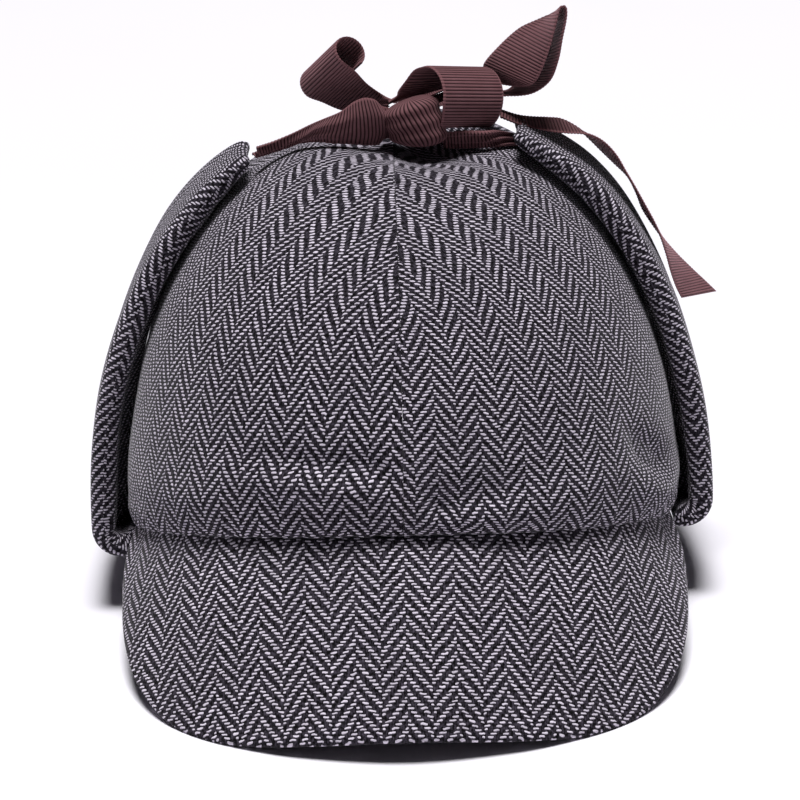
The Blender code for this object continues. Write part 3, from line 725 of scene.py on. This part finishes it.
FLAP_GRID = (44, 84)


def flap_middle(flap, across, above_fold, at):
    """A point on the flap's middle surface, and the flap's row there."""
    row = read_rows(FLAP_ROWS, above_fold)
    y = (across * row.half_width * flap.side + row.middle_y) * MM
    rise = above_fold * flap.tip_rise
    base_angle = 0.0 if flap.side > 0 else math.pi
    spread = math.cos(rise * math.pi / 2) ** (2 / PROFILE_POWER)
    theta = base_angle + flap.side * plan_angle(y / (CROWN_HALF_LENGTH * spread))

    def bare(turn, height):
        foot_y = CROWN_HALF_LENGTH * math.sin(turn) * float(plan_share(turn))
        return Vector(dome_points(turn, height, float(edge_height(foot_y)) + flap.fold_lift))

    nudge = 1e-3
    along_u = bare(theta + nudge, rise) - bare(theta - nudge, rise)
    along_v = bare(theta, rise + nudge) - bare(theta, max(rise - nudge, 0.0))
    normal = along_u.cross(along_v).normalized()
    stand_off = getattr(row, flap.gaps) * MM + FLAP_HALF_THICKNESS
    point = bare(theta, rise)
    if at >= FLAP_FOLD_SHARE:
        return point + normal * stand_off, row
    angle = flap.fold_start + (2 * math.pi - flap.fold_start) * at / FLAP_FOLD_SHARE
    level = Vector((normal.x, normal.y, 0)).normalized()
    centre = point + level * (stand_off - FLAP_FOLD_RADIUS)
    round_fold = level * math.cos(angle) + Vector((0, 0, math.sin(angle)))
    return centre + FLAP_FOLD_RADIUS * round_fold, row


# The padding fills what is left between the flap's middle and the crown that it lies on.
crown_mesh = bmesh.new()
for cloth in crown_pieces:
    crown_mesh.from_mesh(cloth.data)
crown_tree = BVHTree.FromBMesh(crown_mesh)
crown_mesh.free()
FLAP_CLEARANCE = 1.3 * MM
FLAP_MAX_ROOM = 14 * MM
FLAP_ROOT_ROUNDING = 1.2 * MM
FLAP_CALM = 5.0 * MM
PADDING_RIM = (12 * MM, 22 * MM)     # from the rim, where the padding sets in
PADDING_START = (0.16, 0.26)         # and from the root, as shares of the flap's length


def ear_flap(flap):
    sides = 2 * crowded_steps(FLAP_GRID[0], 0.75) - 1
    ups = crowded_steps(FLAP_GRID[1], 0.35)
    middle = np.zeros((len(sides), len(ups), 3))
    full = np.zeros((len(sides), len(ups)))
    for j, at in enumerate(ups):
        above = max(0.0, (at - FLAP_FOLD_SHARE) / (1 - FLAP_FOLD_SHARE))
        for i, across in enumerate(sides):
            point, row = flap_middle(flap, across, above, at)
            middle[i, j] = point
            full[i, j] = FLAP_HALF_THICKNESS * row.thickness
    normals = grid_normals(middle)
    beside, up = run_along(middle, 0), run_along(middle, 1)
    from_rim = np.minimum(beside, beside[-1:] - beside)
    from_rim = np.minimum(from_rim, up[:, -1:] - up)
    thick = rim_round(from_rim, full) * full
    thick *= rim_round(up, FLAP_ROOT_ROUNDING)
    swell = swells(middle, [(0.35 * MM, 24 * MM, 41.0 + flap.side)])
    swell = swell * np.clip(from_rim / FLAP_CALM, 0, 1) * np.clip(up / FLAP_CALM, 0, 1)
    skins = [middle + normals * (thick + swell)[..., None], middle - normals * thick[..., None]]

    room = np.zeros_like(thick)
    for i in range(len(sides)):
        for j in range(len(ups)):
            hit = crown_tree.ray_cast(Vector(middle[i, j]) + HAT_SHIFT, Vector(-normals[i, j]),
                                      FLAP_MAX_ROOM)
            if hit[0] is not None:
                room[i, j] = max(0.0, hit[3] - FLAP_CLEARANCE - thick[i, j])
    window = smooth_step(from_rim, *PADDING_RIM) * smooth_step(ups[None, :], *PADDING_START)
    skins[1] = skins[1] - normals * (room * window)[..., None]

    weaves = []
    for skin, flip in zip(skins, (1, -1)):
        spread = run_along(skin, 0)
        spread = (spread - spread[-1:] / 2) / MM / FLAP_END_MM
        reach = spread[-1:] + 4
        if flip < 0:     # the cloth turns round the rim, and its threads are counted on from there
            spread = np.where(spread > 0, 2 * reach - spread, -2 * reach - spread)
        picks = np.broadcast_to(up[len(sides) // 2] / MM / FLAP_PICK_MM, spread.shape)
        weaves.append(np.stack([spread + 6.0, picks], axis=-1))
    return cloth_piece(flap.name, skins, weaves, flap_tweed)


# %% [markdown]
# The padding is simulated with Cloth under a little pressure and without gravity. The flap's
# root, which is sewn into the crown, is pinned, and no point may move far, so that the flap
# stays in its own space beside the crown.

# %% Padding by cloth simulation
PUFF_LIMIT = 1.1 * MM
PUFF_PRESSURE = 4.0
PUFF_FRAMES = 20
SEWN_HEIGHT = 12 * MM


def puff_up(piece, root_height):
    """Swells a closed piece of cloth, then takes the modifier off again."""
    data = piece.data
    start = np.zeros(len(data.vertices) * 3)
    data.vertices.foreach_get("co", start)
    start = start.reshape(-1, 3)
    pins = piece.vertex_groups.new(name="sewn_root")
    low = start[:, 2].min() + root_height
    pins.add([int(index) for index in np.nonzero(start[:, 2] < low)[0]], 1.0, "REPLACE")
    cloth = piece.modifiers.new("padding", "CLOTH")
    cloth.settings.quality = 6
    cloth.settings.mass = 0.25
    cloth.settings.tension_stiffness = 18
    cloth.settings.compression_stiffness = 12
    cloth.settings.shear_stiffness = 6
    cloth.settings.bending_stiffness = 0.4
    cloth.settings.use_pressure = True
    cloth.settings.uniform_pressure_force = PUFF_PRESSURE
    cloth.settings.vertex_group_mass = "sewn_root"
    cloth.settings.effector_weights.gravity = 0
    cloth.point_cache.frame_start = 1
    cloth.point_cache.frame_end = PUFF_FRAMES
    for step in range(1, PUFF_FRAMES + 1):
        bpy.context.scene.frame_set(step)
    swollen = piece.evaluated_get(bpy.context.evaluated_depsgraph_get()).data
    end = np.zeros_like(start).ravel()
    swollen.vertices.foreach_get("co", end)
    moved = end.reshape(-1, 3) - start
    distance = np.linalg.norm(moved, axis=1, keepdims=True)
    kept = moved * (PUFF_LIMIT * np.tanh(distance / PUFF_LIMIT) / np.maximum(distance, 1e-9))
    print(piece.name, "would swell by up to", round(float(distance.max()) / MM, 2),
          "mm, kept to", round(float(np.linalg.norm(kept, axis=1).max()) / MM, 2))
    piece.modifiers.remove(cloth)
    piece.vertex_groups.remove(pins)
    data.vertices.foreach_set("co", (start + kept).ravel())
    data.update()
    bpy.context.scene.frame_set(1)


for flap in FLAP_SIDES:
    padded_flap = ear_flap(flap)
    puff_up(padded_flap, SEWN_HEIGHT)
    rounding = padded_flap.modifiers.new("rounding", "SUBSURF")
    rounding.levels = rounding.render_levels = 1

# %% [markdown]
# ## Grosgrain ribbon
# Grosgrain is woven with a thick weft, which stands up as ribs straight across the ribbon, and
# it has a flat selvage on both edges. It is dyed brown, and its fine warp shines a little where
# it runs over each rib. The ribs are large enough to be modelled; the nodes add painted shade as a
# dark line between two ribs, the warp threads, and a painted glint that makes the selvage paler.
# The map is in millimetres here.

# %% The ribbon material
RIBBON_WIDTH = 25.0 * MM
RIB_PITCH_MM = 1.04
WARP_PITCH_MM = 0.34        # coarser than the real warp, so that it shows
SELVAGE_MM = 11.6           # from the ribbon's middle
RIBBON_RELIEF = 0.12 * MM
# Painted shade: the groove between two ribs is coloured dark, and the rib's own colour takes over
# between these shares.
RIB_LIGHT = (0.22, 0.85)    # the groove's dark edge ends and the rib's full colour starts
RIB_RULE = [
    ("rib_turn", "MULTIPLY", "length", math.pi / RIB_PITCH_MM),
    ("rib_wave", "SINE", "rib_turn"),
    ("rib", "ABSOLUTE", "rib_wave"),
    ("clouds", "MULTIPLY_ADD", "cloud", 0.5, -0.02),
    ("tint", "MULTIPLY_ADD", "speck", 0.35, "clouds"),
    ("off_middle", "ABSOLUTE", "across"),
    # Painted glint: beyond this distance from the middle the selvage is coloured paler.
    ("beyond", "GREATER_THAN", "off_middle", SELVAGE_MM),
    ("selvage", "MULTIPLY", "beyond", 0.65),
    ("warp_turn", "MULTIPLY", "across", 2 * math.pi / WARP_PITCH_MM),
    ("warp", "SINE", "warp_turn"),
    ("rough_rib", "MULTIPLY_ADD", "speck", 0.3, "rib"),
    ("height", "MULTIPLY_ADD", "warp", 0.12, "rough_rib"),
]


def grosgrain(name, body, painted_groove_shade, edge):
    material, add = new_material(name)
    place = add("UVMap", uv_map="weave")
    across = add("SeparateXYZ", (place,))
    known = {"across": across, "length": across.node.outputs[1],
             "cloud": add("TexNoise", {"Vector": place, "Scale": 0.22, "Detail": 3.0}),
             "speck": add("TexNoise", {"Vector": place, "Scale": 3.5, "Detail": 2.0})}
    for step, operation, *parts in RIB_RULE:
        known[step] = add("Math", [known.get(part, part) for part in parts], operation=operation)
    lit = add("MapRange", {"Value": known["rib"], "From Min": RIB_LIGHT[0],
                           "From Max": RIB_LIGHT[1]}, interpolation_type="SMOOTHSTEP")
    dyed = add("Mix", {"Factor": known["tint"], "A": hex_colour(body[0]),
                       "B": hex_colour(body[1])}, output=2, data_type="RGBA")
    # Painted shade: the dark groove colour between two ribs.
    ribs_with_painted_shade = add("Mix", {"Factor": lit, "A": hex_colour(painted_groove_shade), "B": dyed}, output=2,
                 data_type="RGBA")
    # A painted glint makes the selvage paler.
    colour = add("Mix", {"Factor": known["selvage"], "A": ribs_with_painted_shade, "B": hex_colour(edge)},
                 output=2, data_type="RGBA")
    gloss = add("MapRange", {"Value": known["speck"], "To Min": 0.55, "To Max": 0.70})
    bump = add("Bump", {"Strength": 0.6, "Distance": RIBBON_RELIEF, "Height": known["height"]})
    shader = add("BsdfPrincipled", {"Base Color": colour, "Roughness": gloss, "Normal": bump,
                                    "Specular IOR Level": 0.15, "Sheen Weight": 0.42,
                                    "Specular Tint": hex_colour("#FFC4CA"),
                                    "Sheen Tint": hex_colour("#E0A8B0"),
                                    "Sheen Roughness": 0.45})
    add("OutputMaterial", {"Surface": shader})
    return material


# The second colour is painted shade in the grooves between ribs, and the third a painted glint on
# the selvage.
ribbon_brown = grosgrain("grosgrain_polyester_brown", ("#5E3C3F", "#8C676C"), "#0E0506", "#7A5458")

# %% [markdown]
# ## The bow
# One ribbon from each flap meets in a knot over the crown. The bow has a round loop in front, a
# tall pointed loop that leans to the right, a tail that curls over on the left, and a tail that
# hangs down on the right. A ribbon never stretches, so each one is a row of sections that keep
# its width and turn only as a flat band can. It narrows where the knot gathers it into pleats.

# %% Ribbon tables
# A row is the middle's x, y and z in millimetres, the direction across, and the share of the
# ribbon's width that is left there.
TIE_LEFT = [
    (-42.6, -13.0, 145.4, 0.34, -0.72, 0.6, 0.22),
    (-37.8, -9.8, 146.1, 0.31, -0.74, 0.59, 0.24),
    (-32.5, -9.5, 147.9, 0.4, -0.64, 0.65, 0.3),
    (-27.5, -11.2, 149.9, 0.38, -0.55, 0.75, 0.37),
    (-22.2, -14.5, 152.0, 0.37, -0.3, 0.88, 0.37),
    (-17.0, -17.0, 153.3, 0.25, -0.17, 0.95, 0.44),
    (-12.4, -17.2, 154.5, 0.07, -0.11, 0.99, 0.54),
    (-8.2, -16.0, 154.6, -0.03, -0.18, 0.98, 0.63),
    (-5.2, -13.6, 153.8, -0.05, -0.19, 0.98, 0.61),
    (-4.1, -10.4, 152.8, -0.02, -0.18, 0.98, 0.52),
    (-2.8, -7.4, 152.0, 0, -0.18, 0.98, 0.44),
    (0.4, -5.6, 151.6, 0, -0.18, 0.98, 0.38),
]
TIE_RIGHT = [
    (38.9, 5.0, 142.2, -0.16, 0.9, 0.4, 0.2),
    (34.3, -3.0, 145.0, -0.11, 0.46, 0.88, 0.19),
    (28.6, -8.8, 146.6, -0.06, -0.4, 0.91, 0.25),
    (22.1, -10.0, 147.0, -0.05, -0.54, 0.84, 0.3),
    (17.5, -10.2, 147.0, -0.04, -0.53, 0.85, 0.27),
    (15.2, -10.6, 147.0, -0.04, -0.5, 0.86, 0.24),
]
LOOP_RIGHT = [
    (3.6, -4.4, 158.4, -0.5, 0.35, 0.8, 0.16),
    (10.0, 6.0, 158.6, -0.7, 0.66, 0.26, 0.24),
    (19.0, 15.2, 159.8, -0.42, 0.89, 0.14, 0.37),
    (27.8, 13.0, 161.2, -0.44, 0.89, 0.1, 0.52),
    (33.6, 6.2, 161.8, -0.5, 0.86, 0.06, 0.8),
    (35.8, 1.0, 164.6, -0.55, 0.83, 0.1, 1),
    (38.6, -1.0, 168.6, -0.52, 0.85, 0.12, 1),
    (43.9, -0.8, 176.2, -0.34, 0.94, 0.02, 1),
    (47.9, -0.2, 180.9, -0.17, 0.97, -0.16, 1),
    (50.8, 0.0, 183.8, -0.04, 0.96, -0.28, 1),
    (52.4, -0.2, 183.6, -0.03, 0.95, -0.31, 1),
    (51.9, -0.6, 180.6, -0.09, 0.94, -0.32, 1),
    (49.3, -1.0, 174.2, -0.2, 0.93, -0.3, 1),
    (46.8, -0.8, 168.0, -0.3, 0.92, -0.25, 1),
    (43.6, 1.0, 162.0, -0.36, 0.91, -0.2, 1),
    (39.4, 4.6, 158.0, -0.34, 0.92, -0.16, 0.84),
    (32.5, 10.0, 156.4, -0.28, 0.95, -0.1, 0.6),
    (21.0, 15.0, 155.0, -0.3, 0.94, 0.1, 0.36),
    (9.6, 5.0, 154.0, -0.7, 0.66, 0.26, 0.24),
    (3.8, -4.4, 154.6, -0.5, 0.35, 0.8, 0.16),
]
TAIL_RIGHT = [
    (33.4, 5.4, 151.4, 0, 1, 0, 0.4),
    (39.6, 3.4, 149.4, 0, 1, 0, 0.52),
    (44.6, 2.2, 148.6, 0, 1, -0.02, 0.68),
    (48.9, 2.0, 148.0, 0, 1, -0.04, 0.9),
    (53.3, 2.0, 147.4, 0, 0.99, -0.06, 1),
    (58.3, 2.0, 145.8, 0, 0.98, -0.16, 1),
    (62.0, 2.0, 143.4, 0.02, 0.96, -0.27, 1),
    (65.5, 2.0, 140.4, 0.03, 0.94, -0.33, 1),
    (69.2, 2.0, 136.4, 0.05, 0.94, -0.33, 1),
    (73.1, 2.2, 131.2, 0.12, 0.94, -0.31, 1),
    (75.9, 2.4, 126.0, 0.11, 0.94, -0.32, 1),
    (78.4, 2.6, 120.6, 0.08, 0.94, -0.33, 1),
    (81.5, 3.0, 115.2, 0.1, 0.94, -0.33, 1),
    (84.7, 3.4, 109.7, 0.16, 0.93, -0.33, 1),
    (87.8, 4.2, 104.2, 0.26, 0.92, -0.3, 1),
    (91.0, 5.2, 98.6, 0.38, 0.89, -0.24, 1),
    (94.2, 5.9, 93.6, 0.48, 0.86, -0.19, 1),
    (97.0, 6.2, 89.8, 0.55, 0.81, -0.18, 1),
]
TAIL_LEFT_FOOT = [
    (-0.9, -3.6, 156.8, 0.45, -0.62, 0.64, 0.24),
    (-5.4, 2.6, 155.4, 0.46, -0.64, 0.61, 0.5),
    (-11.8, 3.4, 157.8, 0.47, -0.66, 0.58, 0.74),
    (-16.8, 0.6, 162.0, 0.48, -0.67, 0.565, 0.92),
]
CurlPlan = namedtuple("CurlPlan", "centre across depth height start end taper_start taper_end")
LOOP_FRONT = CurlPlan(Vector((19.2, -5.0, 158.7)) * MM, Vector((0.75, 0.63, -0.17)).normalized(),
                      8.5 * MM, 9.4 * MM, math.radians(-62), math.radians(112), 0.86, 1.0)
LOOP_FRONT_FOOT = [
    (15.2, -1.3, 166.3, 0.75, 0.63, -0.17, 0.92),
    (13.2, -1.0, 163.6, 0.78, 0.61, -0.12, 0.94),
    (10.3, -2.1, 161.4, 0.8, 0.59, -0.08, 0.84),
    (6.7, -4.3, 160.1, 0.8, 0.6, -0.05, 0.55),
    (1.0, -7.5, 158.6, 0.8, 0.6, -0.05, 0.22),
]
TAIL_LEFT_CURL = CurlPlan(Vector((-18.4, 1.9, 167.3)) * MM,
                          Vector((0.48, -0.67, 0.565)).normalized(), 4.9 * MM, 4.9 * MM,
                          math.radians(-40), math.radians(240), 1.0, 1.0)
TAPER_REACH = math.radians(50)


# %% [markdown]
# A rolled end or a loop follows a part of an oval, so three numbers and two angles give all of
# its sections. Between a table's rows the ribbon follows one smooth curve.

# %% Ribbon sections
def curl_rows(plan, count):
    """Sections of a rolled band: an angle of 0 faces the viewer, and 90 degrees is up."""
    front = plan.across.cross(Vector((0, 0, 1))).normalized()
    upward = front.cross(plan.across).normalized()
    rows = []
    for index in range(count + 1):
        angle = plan.start + (plan.end - plan.start) * index / count
        from_start = min((angle - plan.start) / TAPER_REACH, 1.0)
        from_end = min((plan.end - angle) / TAPER_REACH, 1.0)
        width = min(plan.taper_start + (1 - plan.taper_start) * from_start,
                    plan.taper_end + (1 - plan.taper_end) * from_end)
        point = plan.centre + front * plan.depth * math.cos(angle)
        point += upward * plan.height * math.sin(angle)
        point += plan.across * RIBBON_WIDTH / 2 * (1 - width)
        rows.append((*(point / MM), *plan.across, width))
    return rows


def smooth_stations(rows, steps):
    """Sections evenly spread along a smooth curve through the table's rows."""
    places = [0.0]
    for first, second in zip(rows, rows[1:]):
        places.append(places[-1] + math.dist(first[:3], second[:3]))
    stations = [between_rows(rows, places, places[-1] * step / steps) for step in range(steps + 1)]
    return np.array(stations), places[-1] * MM


# %% [markdown]
# A rib is a round swell across both faces of the band, five steps of the mesh long. The edge of
# the band goes in and out by a tenth of a millimetre with the ribs, as a woven selvage does.

# %% Ribbons
RIBBON_HALF_THICKNESS = 0.30 * MM
RIB_HEIGHT = 0.17 * MM
STEPS_PER_RIB = 5
RIBBON_COLUMNS = 16
EDGE_SHARE = 0.006             # of the width; the two skins meet in this last narrow column
PLEAT_DEPTH = 1.0 * MM
PLEATS = 2.5
PLEATED_BELOW = 0.7            # of the full width
SELVAGE_WAVE = 0.16 * MM
SELVAGE_ROUNDING = 0.35 * MM
SELVAGE_LEAST = 0.35           # of the thickness is left at the edge


def ribbon(name, rows, arch=0.0):
    length = smooth_stations(rows, 60)[1]
    steps = int(length / MM / RIB_PITCH_MM * STEPS_PER_RIB)
    stations, length = smooth_stations(rows, steps)
    middle, across, width = stations[:, :3] * MM, stations[:, 3:6], stations[:, 6]
    across = across / np.linalg.norm(across, axis=1, keepdims=True)
    run = run_along(middle, 0)
    rib = np.abs(np.sin(np.pi * run / MM / RIB_PITCH_MM))
    shares = crowded_steps(RIBBON_COLUMNS, 0.5) - 0.5
    shares = np.concatenate([shares[:1], shares[:1] + EDGE_SHARE, shares[1:-1],
                             shares[-1:] - EDGE_SHARE, shares[-1:]])
    shares = shares[:, None]
    reach = (width * RIBBON_WIDTH + SELVAGE_WAVE * (rib - 0.5))[None, :]
    band = middle[None] + across[None] * (shares * reach)[..., None]
    normals = grid_normals(band)
    gather = np.clip(1 - width / PLEATED_BELOW, 0, 1)[None, :]
    pleat = PLEAT_DEPTH * gather * np.cos(2 * np.pi * PLEATS * shares)
    pleat = pleat + arch * np.clip(reach / RIBBON_WIDTH * 2, 0, 1) * (1 - (2 * shares) ** 2)
    edge = np.clip((0.5 - np.abs(shares)) * reach / SELVAGE_ROUNDING, SELVAGE_LEAST, 1)
    half = (RIBBON_HALF_THICKNESS + RIB_HEIGHT * (rib - 0.5)[None, :]) * edge
    half[[0, -1]] = 0.0
    half[:, [0, -1]] = 0.0
    skins = [band + normals * (pleat + half)[..., None], band + normals * (pleat - half)[..., None]]
    map_x = np.broadcast_to(shares * RIBBON_WIDTH / MM, (len(shares), len(run)))
    map_y = np.broadcast_to((run / MM)[None, :], map_x.shape)
    weave = np.stack([map_x, map_y], axis=-1)
    piece = cloth_piece(name, skins, (weave, weave), ribbon_brown)


ribbon("ribbon_tie_left", TIE_LEFT, -2.4 * MM)
ribbon("ribbon_tie_right", TIE_RIGHT, 1.2 * MM)
ribbon("bow_loop_front", curl_rows(LOOP_FRONT, 9) + LOOP_FRONT_FOOT)
ribbon("bow_loop_right", LOOP_RIGHT)
ribbon("bow_tail_left", TAIL_LEFT_FOOT + curl_rows(TAIL_LEFT_CURL, 10))
ribbon("bow_tail_right", TAIL_RIGHT)

# %% [markdown]
# The knot is the same ribbon wrapped once round the others and pulled tight. From the front it
# is a short, full band with steep ribs, creased along its length and higher at its right. A plain
# ball would look like a bead, so a grid is bent round an upright lump and pressed into pleats.

# %% The knot
KNOT_CENTRE = Vector((6.6, -12.6, 153.2)) * MM
KNOT_RADII = Vector((8.8, 6.2, 7.2)) * MM
KNOT_GRID = (25 * STEPS_PER_RIB, 40)
KNOT_RIBS = round(36 / RIB_PITCH_MM)     # about 36 mm of ribbon goes round it
KNOT_FULLNESS = (5.0, 2.6)               # powers of its side's outline; 2 and 2 make a ball
KNOT_TOP_SLOPE = 0.30
KNOT_LEAN = -0.25
KNOT_SHEAR = -0.25
KNOT_MAP_MM = 11.0


def bow_knot():
    turns = np.linspace(0, 2 * np.pi, KNOT_GRID[0] + 1)[:, None]
    heights = (2 * crowded_steps(KNOT_GRID[1], 0.6) - 1)[None, :]
    turns, heights = np.broadcast_arrays(turns, heights)
    power, root = KNOT_FULLNESS
    waist = np.maximum(1 - np.abs(heights) ** power, 0) ** (1 / root)
    rib = np.abs(np.sin(KNOT_RIBS * turns / 2))
    crease = 0.03 * np.cos(3.2 * np.pi * heights + 0.8 * np.sin(turns)) + 0.035 * rib
    out = waist * (1 + crease)
    slant = turns + KNOT_SHEAR * heights
    x = KNOT_RADII.x * out * np.cos(slant)
    y = KNOT_RADII.y * out * np.sin(slant)
    z = KNOT_RADII.z * heights + KNOT_TOP_SLOPE * x * (heights + 1) / 2
    points = np.stack([x + KNOT_LEAN * z, y, z], axis=-1) + np.array(KNOT_CENTRE)
    length = turns / (2 * np.pi) * KNOT_RIBS * RIB_PITCH_MM
    weave = np.stack([heights * KNOT_MAP_MM, length], axis=-1)
    return cloth_piece("bow_knot", (points,), (weave,), ribbon_brown)


knot = bow_knot()

# %% [markdown]
# ## Floor, light and camera
# The hat stands on a plain white table in a white studio. The table is larger than the picture,
# so that no edge of it shows.

# %% Floor
FLOOR_HALF_SIZE = 6.0
floor_mesh = bmesh.new()
bmesh.ops.create_grid(floor_mesh, x_segments=1, y_segments=1, size=FLOOR_HALF_SIZE)
floor_data = bpy.data.meshes.new("studio_floor")
floor_mesh.to_mesh(floor_data)
floor_mesh.free()
floor = bpy.data.objects.new("studio_floor", floor_data)
bpy.context.scene.collection.objects.link(floor)

# White acrylic is smooth and even; its colour only clouds a little.
floor_paint, add = new_material("white_acrylic_table")
cloud = add("TexNoise", {"Vector": add("TexCoord", output=3), "Scale": 2.0, "Detail": 2.0})
colour = add("Mix", {"Factor": cloud, "A": hex_colour("#F4F1F9"), "B": hex_colour("#F8F6FC")},
             output=2, data_type="RGBA")
shader = add("BsdfPrincipled", {"Base Color": colour, "Roughness": 0.45})
add("OutputMaterial", {"Surface": shader})
floor_data.materials.append(floor_paint)

# %% [markdown]
# One large soft light hangs almost straight above. It lights the crown's top, and the white table
# throws it back up on the faces that are turned to the viewer. The room itself adds very little,
# so that the gaps beside the flaps and the crescent under the peak stay dark.

# %% Light
ROOM_STRENGTH = 0.03
LAMP_HEIGHT = math.radians(85)
LAMP_SOFTNESS = math.radians(21)
LAMP_STRENGTH = 3.95
world = bpy.data.worlds.new("white_studio")
bpy.context.scene.world = world
world.use_nodes = True
room = world.node_tree.nodes["Background"].inputs
room["Color"].default_value = hex_colour("#FBFAFF")
room["Strength"].default_value = ROOM_STRENGTH

light = bpy.data.lights.new("soft_top", "SUN")
light.angle = LAMP_SOFTNESS
light.energy = LAMP_STRENGTH
lamp = bpy.data.objects.new("soft_top", light)
bpy.context.scene.collection.objects.link(lamp)
towards = Vector((0, -math.cos(LAMP_HEIGHT), math.sin(LAMP_HEIGHT)))
lamp.rotation_euler = towards.to_track_quat("Z", "Y").to_euler()

# %% [markdown]
# The camera looks slightly down at the front of the hat from three quarters of a metre away.

# %% Camera
CAMERA_PLACE = Vector((-0.002, -0.738, 0.3272))
CAMERA_PITCH = math.radians(70)
CAMERA_ROLL = math.radians(-1.45)
CAMERA_LENS = 109.26
camera_data = bpy.data.cameras.new("studio_camera")
camera_data.sensor_width = 36.0
camera_data.lens = CAMERA_LENS
camera_data.clip_start = 0.01
camera = bpy.data.objects.new("studio_camera", camera_data)
bpy.context.scene.collection.objects.link(camera)
camera.matrix_world = (Matrix.Translation(CAMERA_PLACE) @ Matrix.Rotation(CAMERA_PITCH, 4, "X")
                       @ Matrix.Rotation(CAMERA_ROLL, 4, "Z"))
bpy.context.scene.camera = camera
bpy.context.scene.view_settings.view_transform = "Standard"
